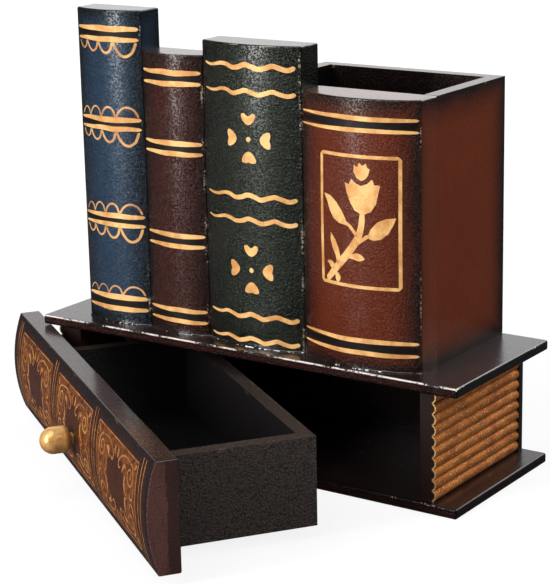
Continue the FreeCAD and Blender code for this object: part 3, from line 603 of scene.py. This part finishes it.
def make_lay_gilding():
    """Lay flat paint on the board in front of it, and lift it by the film's thickness."""
    tree = bpy.data.node_groups.new("lay_gilding", "GeometryNodeTree")
    for label, kind in (("Geometry", "Geometry"), ("Board", "Object"), ("Toward", "Vector"),
                        ("Film", "Float"), ("Paint", "Material")):
        tree.interface.new_socket(label, in_out="INPUT", socket_type=f"NodeSocket{kind}")
    tree.interface.new_socket("Geometry", in_out="OUTPUT", socket_type="NodeSocketGeometry")
    given = add_node(tree, "NodeGroupInput").all()
    board = add_node(tree, "GeometryNodeObjectInfo", {"Object": given["Board"]}, "Geometry",
                     transform_space="RELATIVE")
    ray = add_node(tree, "GeometryNodeRaycast", {
        "Target Geometry": board, "Ray Direction": given["Toward"], "Ray Length": 0.1}).all()
    lift = add_node(tree, "ShaderNodeVectorMath", {0: ray["Hit Normal"], "Scale": given["Film"]},
                    operation="SCALE")
    laid = add_node(tree, "GeometryNodeSetPosition", {
        "Geometry": given["Geometry"], "Position": vector_math("ADD", ray["Hit Position"], lift)})
    missed = add_node(tree, "FunctionNodeBooleanMath", {0: ray["Is Hit"]}, operation="NOT")
    kept = add_node(tree, "GeometryNodeDeleteGeometry", {"Geometry": laid, "Selection": missed},
                    domain="POINT")
    whole = add_node(tree, "GeometryNodeRealizeInstances", {"Geometry": kept})
    painted = add_node(tree, "GeometryNodeSetMaterial", {"Geometry": whole, "Material": given["Paint"]})
    set_inputs(tree.nodes.new("NodeGroupOutput"), {"Geometry": painted})
    return tree


lay_gilding = make_lay_gilding()


def plain_mesh(piece):
    """Turn what a piece's modifiers make into its own mesh, and drop them."""
    bpy.context.view_layer.update()
    built = piece.evaluated_get(bpy.context.evaluated_depsgraph_get())
    mesh = bpy.data.meshes.new_from_object(built)
    piece.modifiers.clear()
    piece.data = mesh


def fill_patch(work, outline, on_face):
    """Fill a flat outline with small triangles that can follow a bowed face."""
    ring = [work.verts.new(on_face(point)) for point in outline]
    edges = [work.edges.new(pair) for pair in zip(ring, ring[1:] + ring[:1])]
    filled = bmesh.ops.triangle_fill(work, use_beauty=True, edges=edges)["geom"]
    inner = {edge for face in filled if isinstance(face, bmesh.types.BMFace) for edge in face.edges}
    for _ in range(3):
        long_ones = [edge for edge in inner if edge.is_valid and edge.calc_length() > 0.0012]
        split = bmesh.ops.subdivide_edges(work, edges=long_ones, cuts=1, use_grid_fill=True)["geom"]
        inner.update(item for item in split if isinstance(item, bmesh.types.BMEdge))
        faces = {face for edge in inner if edge.is_valid for face in edge.link_faces}
        inner = {edge for face in bmesh.ops.triangulate(work, faces=list(faces))["faces"]
                 for edge in face.edges}


def gild(name, board, strokes, paint, body, place, patches=(), film=GILT_FILM):
    """Lay strokes and filled patches, drawn from a place ahead of the board's face, on that board."""
    def on_face(point):
        return place @ Vector((point[0] / 1000, 0.0, point[1] / 1000))

    work = bmesh.new()
    for outline in patches:
        fill_patch(work, outline, on_face)
    for rows in strokes:
        grid = [[work.verts.new(on_face(point)) for point in row] for row in rows]
        for here, after in zip(grid, grid[1:]):
            for k in range(len(here) - 1):
                work.faces.new((here[k], here[k + 1], after[k + 1], after[k]))
    piece = new_object(name, mesh_from(work, name))
    toward = (place.to_3x3() @ Vector((0, 1, 0))).normalized()
    laying = piece.modifiers.new("laying", "NODES")
    laying.node_group = lay_gilding
    values = {"Board": board, "Toward": toward, "Film": film, "Paint": paint}
    for item in lay_gilding.interface.items_tree:
        if item.item_type == "SOCKET" and item.in_out == "INPUT" and item.name in values:
            laying[item.identifier] = values[item.name]
    plain_mesh(piece)
    work = bmesh.new()
    work.from_mesh(piece.data)
    for face in work.faces:
        if face.normal.dot(toward) > 0:
            face.normal_flip()
        face.smooth = True
    work.to_mesh(piece.data)
    work.free()
    coat = piece.modifiers.new("film", "SOLIDIFY")
    coat.thickness = 1.2 * film + FILM_ROOT
    coat.offset = -1
    plain_mesh(piece)
    crisp_arrises(piece.data, 40.0)
    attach(piece, body)


def gild_spine(book, part, strokes, paint, patches=(), film=GILT_FILM):
    """Paint on a spine, drawn from its left lower corner."""
    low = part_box(f"{book}_spine")[0]
    gild(f"{book}_spine_{part}", bpy.data.objects[f"{book}_spine_board"], strokes, paint,
         "stand", Matrix.Translation((low[0], low[1] - STAND_OFF, low[2])), patches, film)


def gold_paint(name, gold=(206, 145, 78), pale=(244, 192, 122), ground=(70, 44, 26), dryness=0.12):
    """Gold paint as the brush leaves it."""
    material, shader, where = new_material(name)
    gilt = gilt_from(where["Object"], gold, pale, ground, dryness)
    set_inputs(shader, {"Base Color": gilt["Colour"], "Roughness": gilt["Roughness"], "Metallic": 0.25,
                        "Normal": bumped(gilt["Height"], 0.00012)})
    return material


# Each pair of bands is shadowed by thin black paint between them, laid before the gold.
edging_black, shader, where = new_material("edging_black_paint")
clouds = noise(where["Object"], 300.0, 3.0)
set_inputs(shader, {"Base Color": mix_colour(clouds, colour(22, 12, 10), colour(10, 7, 7)),
                    "Roughness": remap(clouds, 0.3, 0.7, 0.35, 0.55), "Specular IOR Level": 0.2,
                    "Normal": bumped(clouds, 0.0001)})
for book, levels in (("blue", ((114.4, 2.6), (79.7, 2.2), (41.7, 2.2), (8.2, 3.2))),
                     ("maroon", ((99.5, 2.8), (72.8, 2.6), (37.0, 2.6), (7.2, 3.0))),
                     ("red", ((89.8, 3.2), (8.5, 3.2)))):
    width = SPINE_WIDTH[book]
    gild_spine(book, "edging", [
        brush_stroke(((1.2, level), (width / 2, level), (width - 1.2, level)), tapered(thick, 0.5, 0.6))
        for level, thick in levels], edging_black, film=EDGING_FILM)

spine_gold = gold_paint("spine_gold_paint")
hand = random.Random(7)


def bands(book, levels, inset=1.0, landing=0.3):
    """Bands across a spine, with the small rise and fall of hand-drawn lines."""
    span = SPINE_WIDTH[book] - 2 * inset
    return [brush_stroke([(inset + span * k / 5, level + hand.uniform(-0.18, 0.18)) for k in range(6)],
                         tapered(thick, landing)) for level, thick in levels]


def scallops(depths, level, side, thick):
    """A run of loops that hang from a band (side -1) or stand on it (side 1)."""
    knots = (2.0, 6.5, 12.5, 19.5, 29.0)
    points = [(left + (right - left) * share, level + side * depth * drop)
              for left, right, depth in zip(knots, knots[1:], depths)
              for share, drop in ((0.0, 0.05), (0.16, 0.55), (0.36, 0.93), (0.6, 1.0), (0.84, 0.7))]
    points.append((knots[-1], level + side * 0.1))
    return brush_stroke(points, lambda t: thick * (0.55 + 0.45 * min(1.0, 1.6 * t)), 0.45)


gild_spine("blue", "gilding", bands("blue", (
    (116.4, 2.3), (112.4, 2.1), (81.4, 2.2), (77.9, 2.0), (43.4, 2.1), (39.9, 1.9), (10.6, 2.3), (5.9, 2.1))),
    spine_gold)
hanging, standing, low_ones = (3.0, 3.8, 4.3, 5.4), (3.0, 3.6, 3.7, 3.9), (2.6, 3.0, 3.1, 3.4)
gild_spine("blue", "scallops", [
    scallops(hanging, 111.4, -1, 1.05), scallops(standing, 82.4, 1, 0.85), scallops(hanging, 76.9, -1, 1.05),
    scallops(standing, 44.4, 1, 0.85), scallops(hanging, 38.9, -1, 1.05), scallops(low_ones, 11.8, 1, 0.7)],
    gold_paint("scallop_gold_paint", (176, 122, 74), (222, 168, 106), dryness=0.3))
gild_spine("maroon", "gilding", bands("maroon", (
    (101.6, 2.2), (97.4, 2.1), (74.7, 2.1), (70.8, 2.0), (39.0, 2.0), (35.0, 1.9), (9.4, 1.9), (5.0, 1.8)),
    inset=0.8), spine_gold)


def wave(width, level, thick):
    """A wavy band across a spine."""
    points = []
    for k in range(15):
        x = 2.0 + (width - 4.0) * k / 14
        swell = 0.35 + 0.35 * min(1.0, x / 16)
        points.append((x, level + swell * math.sin(2 * math.pi * x / 11.0 + 1.4 + hand.uniform(-0.3, 0.3))))
    return brush_stroke(points, tapered(thick, 0.3, 0.9), 0.5)


PETAL_SIZE = (6.4, 4.3)
FLOWER_EYE = 0.95


def petal(x, z, turn, notch):
    """A heart-shaped petal whose point looks at the middle of its flower."""
    shape = ((0.0, 0.50), (-0.19, 0.40), (-0.38, 0.12), (-0.49, -0.22), (-0.47, -0.46), (-0.28, -0.52),
             (-0.12, notch - 0.58), (0.0, notch - 0.50), (0.12, notch - 0.58), (0.28, -0.52), (0.47, -0.46),
             (0.49, -0.22), (0.38, 0.12), (0.19, 0.40))
    return [Vector((x, z)) + Matrix.Rotation(turn, 2) @ Vector((across * PETAL_SIZE[0], up * PETAL_SIZE[1]))
            for across, up in shape]


waves = [wave(SPINE_WIDTH["green"], level, thick) for level, thick in
         ((106.4, 1.9), (97.0, 1.7), (58.0, 1.8), (49.0, 1.7), (12.2, 1.8), (2.8, 1.7))]
flowers = []
for centre in (Vector((23.0, 79.6)), Vector((23.0, 30.0))):
    for quarter, (away, notch) in enumerate(((6.7, 0.08), (7.0, 0.10), (7.4, 0.24), (7.5, 0.12))):
        turn = quarter * math.pi / 2
        out = Matrix.Rotation(turn, 2) @ Vector((0, -away))
        flowers.append(petal(centre.x + out.x, centre.y + out.y, turn, notch))
    flowers.append([centre + Matrix.Rotation(step * math.pi / 6, 2) @ Vector((FLOWER_EYE, 0))
                    for step in range(12)])
gild_spine("green", "gilding", waves, spine_gold, flowers)

red_strokes = bands("red", ((91.9, 1.7), (87.6, 1.6), (10.8, 1.8), (6.2, 1.8)), inset=0.8, landing=0.25)
frame_corners = ((11.6, 78.4), (43.2, 78.4), (43.2, 31.0), (11.6, 31.0))
for start, end in zip(frame_corners, frame_corners[1:] + frame_corners[:1]):
    middle = [(here + there) / 2 + hand.uniform(-0.3, 0.3) for here, there in zip(start, end)]
    red_strokes.append(brush_stroke((start, middle, end), 1.25))
# A tulip: a bent stem with two stalks and three small leaves, then the cup with a jagged lip, the
# bud over it and three large leaves.
for points, width, across in (
        (((29.4, 58.0), (28.9, 53.0), (27.2, 48.2), (23.2, 42.6), (18.6, 37.4), (13.8, 31.8)),
         lambda t: 2.0 + 0.9 * math.sin(3 * t), 2),
        (((27.4, 49.0), (24.4, 52.6), (21.0, 54.6)), 1.2, 2),
        (((26.8, 46.4), (29.8, 48.6), (32.0, 50.0)), 1.3, 2),
        (((22.4, 40.8), (26.2, 41.8), (30.2, 41.2)), leaf(2.7, 0.66), 4),
        (((17.6, 35.8), (15.4, 38.2), (13.8, 38.4)), leaf(2.2, 0.5), 2),
        (((17.4, 35.2), (18.8, 33.6), (18.6, 31.2)), leaf(2.3, 0.5), 2)):
    red_strokes.append(brush_stroke(points, width, 0.5, across))
gild_spine("red", "gilding", red_strokes, spine_gold, [
    [(29.5, 57.3), (26.4, 58.7), (24.5, 61.5), (23.1, 65.1), (22.3, 68.5), (24.0, 68.1), (25.1, 70.1),
     (27.1, 68.5), (29.1, 67.9), (31.3, 68.7), (33.3, 70.5), (34.1, 68.5), (36.3, 68.5), (35.5, 65.3),
     (34.7, 61.7), (32.8, 58.8)],
    [(29.1, 69.6), (27.2, 70.7), (26.0, 72.9), (26.2, 75.3), (27.6, 74.5), (28.3, 76.3), (29.5, 75.1),
     (31.0, 76.1), (31.4, 74.5), (32.4, 74.1), (31.9, 71.9), (30.7, 70.4)],
    [(22.6, 53.0), (19.6, 53.4), (16.9, 55.0), (15.2, 57.8), (14.0, 61.0), (12.6, 63.6), (15.6, 63.0),
     (18.4, 60.9), (20.9, 57.8), (22.4, 55.2)],
    [(31.2, 49.2), (32.6, 52.4), (35.2, 55.2), (38.4, 56.6), (41.8, 57.0), (40.7, 54.1), (39.1, 51.2),
     (36.4, 49.0), (33.6, 48.4)],
    [(20.0, 40.8), (19.2, 44.0), (17.7, 47.0), (15.6, 49.6), (15.5, 46.8), (16.4, 44.0), (17.9, 41.2),
     (18.3, 38.8), (19.2, 37.2), (20.6, 38.6)],
])


# ----------------------------------------------------------------------------------------------
# Pen box.  Three walls behind the third and fourth spines, level with the fourth.  Outside they
# are lacquered as that spine is; their rims and the inside are nearly black.
wall_paint = lacquer("pen_box_lacquer", (110, 46, 20), (20, 11, 10), *joined_box(*pen_box_nodes),
                     shade_width=0.0050, clouding=0.12, gloss=0.7, rub=0.5, rub_width=0.0012,
                     fleck_colour=(150, 112, 92), inside=(14, 10, 10), shine=0.25)
for wall in ("pen_box_left_wall", "pen_box_right_wall", "pen_box_rear_wall"):
    board_from(f"{wall}_board", wall, wall_paint, "stand", 0.0005)


# ----------------------------------------------------------------------------------------------
# Fasteners and pivot.  Bright nails, dowels, and screws up into the spines; a steel pin with two
# washers carries the drawer's beech block.
STEEL = (176, 174, 170)


def repaint(material, *nodes):
    """Give nodes that keep their built shape a finish."""
    for node in nodes:
        for slot in frame["nodes"][node].material_slots:
            slot.material = material


bright_steel, shader, where = new_material("bright_steel")
scratches = noise(where["Object"], 1500.0, 4.0, 0.7)
set_inputs(shader, {
    "Base Color": mix_colour(scratches, colour(*STEEL), colour(*(0.6 * part for part in STEEL))),
    "Roughness": remap(scratches, 0.2, 0.8, 0.28, 0.53), "Metallic": 1.0,
    "Normal": bumped(scratches, 0.00004)})
repaint(bright_steel, "bottom_brads", "pen_box_brads", "drawer_bottom_brads", "pivot_pin",
        "lower_pivot_washer", "upper_pivot_washer", "spine_screws")
for name, light, dark, node in (("bare_beech", (172, 128, 84), (126, 84, 50), "top_dowels"),
                                ("stained_beech", (58, 36, 28), (34, 22, 18), "pivot_block")):
    beech, shader, where = new_material(name)
    grain = noise(stretched(where["Object"], 1.0, 1.0, 0.15), 700.0, 4.0, 0.65)
    set_inputs(shader, {"Base Color": mix_colour(remap(grain, 0.35, 0.7), colour(*light), colour(*dark)),
                        "Roughness": 0.6, "Normal": bumped(grain, 0.0001)})
    repaint(beech, node)


# ----------------------------------------------------------------------------------------------
# Drawer box.  Five thin boards, nailed up through the bottom, sprayed inside and out, over the
# screw heads too, with a hammered black paint that pulls into small pebbles.
BELOW_RIM = 0.01   # faces this far under the rim and more belong to the drawer's floor
hinge = frame["joints"][0]
swing = math.radians(hinge["range_deg"][1])
swung = Matrix.Translation(hinge["pos_m"]) @ Matrix.Rotation(-swing, 4, "Z")


def drawer_corners(*names):
    """The box round several of the drawer's nodes, in the drawer's own square frame."""
    back = swung.inverted()
    points = [back @ vertex.co for name in names for vertex in frame["nodes"][name].data.vertices]
    return (tuple(min(point[axis] for point in points) for axis in range(3)),
            tuple(max(point[axis] for point in points) for axis in range(3)))


def squared(where):
    """A drawer board's place and facing, turned back by the swing so that it lies square to the axes."""
    place = vector_math("SUBTRACT", where["Object"], hinge["pos_m"])
    return [add_node(place.tree, "ShaderNodeMapping", {"Vector": signal, "Rotation": (0.0, 0.0, swing)})
            for signal in (place, where["Normal"])]


box_nodes = ("drawer_bottom", "drawer_left_side", "drawer_right_side", "drawer_back", "drawer_box_front")
low, high = drawer_corners(*box_nodes)
box_paint, shader, where = new_material("hammered_black")
vector, normal = squared(where)
pebbles = add_node(vector.tree, "ShaderNodeTexVoronoi", {
    "Vector": vector, "Scale": 1500.0, "Randomness": 1.0}, "Distance", feature="SMOOTH_F1")
grit = noise(vector, 2300.0, 2.0, 0.6)
relief = pebbles * 0.8 + grit * 0.5
body = mix_colour(remap(relief, 0.3, 0.9), colour(76, 64, 59), colour(24, 19, 17))
body = mix_colour(noise(vector, 60.0, 3.0, 0.6) * 0.4, body, colour(36, 31, 30))
# Painted shade: the faces inside the box are darker than outside, and its floor under the rim darker still.
body = mix_colour(facing_in(vector, normal, low, high), body, colour(20, 17, 17))
floor_shade_mask = (parts_of(normal)[2] > SQUARE_ON) * (high[2] - parts_of(vector)[2] > BELOW_RIM)
body = mix_colour(floor_shade_mask, body, colour(11, 9, 9))
pale_flecks = rubbed(vector, from_arris(vector, normal, low, high), 0.0011, 0.55)
set_inputs(shader, {"Base Color": mix_colour(pale_flecks, body, colour(104, 84, 76)),
                    "Roughness": remap(grit, 0.2, 0.8, 0.34, 0.58), "Specular IOR Level": 0.35,
                    "Normal": bumped(relief, 0.00042)})
for node in box_nodes:
    board_from(f"{node}_board", node, box_paint, "drawer", 0.0004)
repaint(box_paint, "pivot_block_screws", "front_panel_screws", "knob_screw")


# ----------------------------------------------------------------------------------------------
# Drawer front.  The lying book's spine: one bowed board, stained dark brown, with three tooled
# panels in bronze and gold between double lines, and thick lacquer over all.
PANELS = 3
PANEL_PITCH = 0.059
PANEL_START = 0.008
PANEL_HALF = (0.0246, 0.0154)
PANEL_FADE = 0.0004
MIDDLE_RADIUS = 0.0105

front_low, front_high = drawer_corners("drawer_front")
tooled_lacquer, shader, where = new_material("tooled_lacquer")
vector, normal = squared(where)
parts, facing = parts_of(vector), parts_of(normal)
distance = from_arris(vector, normal, front_low, front_high)
coat = use_group(aged_lacquer, {
    "Vector": vector, "Distance": distance, "Colour": colour(68, 34, 21), "Shade": colour(26, 18, 20),
    "Shade width": 0.0052, "Clouding": 0.45, "Gloss": 0.62})
# Bronze lies within each panel, round a plain middle with a lobed edge, and is rubbed through.
place = (parts[0] - (front_low[0] + PANEL_START)) / PANEL_PITCH
cell = place - smaller(larger(calculate("FLOOR", place), 0.0), PANELS - 1.0)
from_middle = (abs((cell - 0.5) * PANEL_PITCH), abs(parts[2] - (front_low[2] + front_high[2]) / 2))
across, up = from_middle
lobes = noise(vector, 260.0, 3.0, 0.6)
middle = (across / MIDDLE_RADIUS) ** 3.0 + (up / MIDDLE_RADIUS) ** 3.0 + (lobes - 0.5) * 2.2
within = [remap(away, half - PANEL_FADE, half, 1.0, 0.0) for away, half in zip(from_middle, PANEL_HALF)]
left_by_wear = remap(noise(vector, 420.0, 4.0, 0.7), 0.40, 0.60, 0.15, 0.95)
mask = within[0] * within[1] * remap(middle, 0.8, 1.1) * left_by_wear * (facing[1] < -SQUARE_ON)
bronze = mix_colour(lobes, colour(140, 80, 36), colour(96, 50, 24))
dressed = mix_colour(mask, coat["Colour"], bronze)
# The ends show the board's end grain, redder at the back.
grain = noise(stretched(vector, 1.0, 1.0, 0.18), 330.0, 4.0, 0.65)
end_on = abs(facing[0]) > SQUARE_ON
behind = remap(front_high[1] - parts[1] + lobes * 0.003, 0.0056, 0.0062, 1.0, 0.0)
end_red = mix_colour(behind, colour(98, 60, 54), colour(58, 28, 24))
end_grain = mix_colour(remap(grain, 0.45, 0.75, 0.0, 0.6), end_red, colour(44, 22, 20))
ended = mix_colour(end_on * 0.85, dressed, end_grain)
set_inputs(shader, {
    "Base Color": mix_colour(rubbed(vector, distance, 0.0009, 0.5), ended, colour(150, 118, 100)),
    "Roughness": coat["Roughness"], "Specular IOR Level": 0.12,
    "Coat Weight": larger(end_on, facing[2] > SQUARE_ON) * 0.8, "Coat Roughness": 0.16,
    "Normal": bumped(coat["Height"], 0.00016)})
front_board = board_from("drawer_front_board", "drawer_front", tooled_lacquer, "drawer")


def volute(x, z, outer, inner, turns, start):
    """A spiral, from its eye out to its lip."""
    points = []
    for k in range(22):
        t = k / 21
        radius = inner + (outer - inner) * t ** 0.9
        angle = start + 2 * math.pi * turns * (t - 1)
        points.append((x + radius * math.cos(angle), z + radius * math.sin(angle)))
    return points


def scrollwork(centre, level, half_width, half_height):
    """One tooled panel: a fine frame, and in each corner a volute with its leaves."""
    corners = [(-half_width, -half_height), (half_width, -half_height), (half_width, half_height),
               (-half_width, half_height)]
    strokes = [([(x1, z1), ((x1 + x2) / 2, (z1 + z2) / 2), (x2, z2)], 0.42)
               for (x1, z1), (x2, z2) in zip(corners, corners[1:] + corners[:1])]
    for points, width in (
            (volute(17.2, 8.4, 4.3, 0.6, 1.6, math.radians(100)), tapered(0.85, 0.4, 0.7)),
            ([(16.4, 12.7), (11.0, 13.2), (6.4, 12.0), (3.2, 9.2), (4.4, 7.4), (6.2, 8.4)], tapered(0.8)),
            ([(21.5, 8.0), (21.9, 4.4), (20.6, 1.4), (18.2, 1.0), (17.6, 2.8)], tapered(0.75)),
            ([(12.6, 7.4), (11.2, 4.6), (12.2, 1.2), (14.6, 0.4)], leaf(1.5, 0.5)),
            ([(12.4, 9.8), (9.6, 9.4), (7.8, 6.6)], leaf(1.6, 0.4)),
            ([(20.8, 11.8), (22.4, 13.2), (23.2, 14.2)], leaf(1.3, 0.5)),
            ([(1.0, 13.6), (2.2, 11.8), (1.0, 9.8)], leaf(1.2, 0.5))):
        strokes += [([(side * x, end * z) for x, z in points], width) for side in (-1, 1) for end in (-1, 1)]
    return [brush_stroke([(centre + x, level + z) for x, z in points], width, 0.5)
            for points, width in strokes]


front_height = (front_high[2] - front_low[2]) * 1000
tooling = []
for panel in range(PANELS):
    tooling += scrollwork(1000 * (PANEL_START + PANEL_PITCH * (panel + 0.5)), front_height / 2,
                          1000 * PANEL_HALF[0], 1000 * PANEL_HALF[1])
for line in range(PANELS + 1):
    for lean in (-1.4, 1.4):
        x = 1000 * (PANEL_START + PANEL_PITCH * line) + lean
        tooling.append(brush_stroke(((x, 1.6), (x + 0.15, front_height / 2), (x, front_height - 1.6)), 0.55))
gild("drawer_front_tooling", front_board, tooling,
     gold_paint("tooling_gold_paint", (146, 88, 42), (192, 132, 74), (58, 32, 19), dryness=0.36),
     "drawer",
     swung @ Matrix.Translation((front_low[0], front_low[1] - STAND_OFF, front_low[2])))


# ----------------------------------------------------------------------------------------------
# Knob.  A small turned knob, gilded and burnished, screwed on from behind the drawer front.
# The burnishing leaves it smoother and more even than the gilding elsewhere.
knob_gilt, shader, where = new_material("knob_gilt")
gilt = gilt_from(where["Object"], (218, 152, 78), (250, 202, 132), (120, 74, 38), 0.02)
set_inputs(shader, {"Base Color": gilt["Colour"], "Roughness": remap(gilt["Height"], 0.2, 0.8, 0.24, 0.40),
                    "Metallic": 0.45, "Normal": bumped(gilt["Height"], 0.00008)})
board_from("drawer_knob_turned", "drawer_knob", knob_gilt, "drawer")


# ----------------------------------------------------------------------------------------------
# Stage.  A pale floor, a tall soft lamp on the left, and weaker ones above, on the right and
# behind.  The floor and the air look white, but light the piece only at a plain level.
REACH = 6.0
WHITE = (1, 1, 1, 1)
IMAGE_HEIGHT = 584
FOCAL_LENGTH = 1952.8   # in pixels

floor_mesh = bpy.data.meshes.new("floor")
floor_mesh.from_pydata([(-REACH, -REACH, 0), (REACH, -REACH, 0), (REACH, REACH, 0), (-REACH, REACH, 0)], [],
                       [(0, 1, 2, 3)])
floor = new_object("floor", floor_mesh)
floor_paper, shader, where = new_material("floor_paper")
seen = add_node(shader.id_data, "ShaderNodeLightPath").all()["Is Camera Ray"]
away = vector_math("LENGTH", where["Object"], output="Value")
set_inputs(shader, {
    "Base Color": mix_colour(noise(where["Object"], 400.0, 3.0), (0.13, 0.13, 0.13, 1),
                             (0.15, 0.15, 0.15, 1)),
    "Roughness": 0.9, "Emission Color": WHITE,
    "Emission Strength": seen * remap(away, 0.2, 0.9, 0.86, 0.98)})
floor_mesh.materials.append(floor_paper)

world = bpy.data.worlds.new("studio")
bpy.context.scene.world = world
world.use_nodes = True
tree = world.node_tree
path = add_node(tree, "ShaderNodeLightPath").all()
ahead = parts_of(add_node(tree, "ShaderNodeTexCoord").all()["Generated"])[1]
plain = (1.0 - path["Is Glossy Ray"]) * 0.26
mirrored = path["Is Glossy Ray"] * remap(ahead, 0.3, 0.65, 0.04, 1.0)
set_inputs(tree.nodes["Background"], {"Strength": larger(plain + mirrored, path["Is Camera Ray"]),
                                      "Color": WHITE})


def turned(azimuth, tilt):
    return Matrix.Rotation(math.radians(azimuth), 4, "Z") @ Matrix.Rotation(math.radians(90 - tilt), 4, "X")


# Soft boxes, each at an azimuth counted from the front to the right, and at an elevation.
for name, azimuth, elevation, distance, width, height, power in (
        ("left_lamp", -24, 14, 1.1, 0.24, 1.0, 15.0), ("top_lamp", -10, 62, 1.2, 0.8, 0.8, 5.5),
        ("right_lamp", 80, 30, 1.5, 0.7, 0.7, 7.0), ("rear_lamp", 165, 35, 1.5, 0.9, 0.7, 6.5)):
    data = bpy.data.lights.new(name, "AREA")
    data.shape = "RECTANGLE"
    data.size, data.size_y, data.energy = width, height, power
    new_object(name, data).matrix_world = (Matrix.Translation((0, 0, 0.08)) @ turned(azimuth, elevation)
                                           @ Matrix.Translation((0, 0, distance)))

camera_data = bpy.data.cameras.new("camera")
camera_data.sensor_width = 36
camera_data.lens = FOCAL_LENGTH / IMAGE_HEIGHT * camera_data.sensor_width
camera_data.clip_end = 50
camera = new_object("camera", camera_data)
camera.matrix_world = (Matrix.Translation((0.41354, -0.60418, 0.26200)) @ turned(34.761, 15.196)
                       @ Matrix.Rotation(math.radians(-1.218), 4, "Z"))
bpy.context.scene.camera = camera
bpy.context.scene.view_settings.view_transform = "Standard"

bpy.context.view_layer.update()
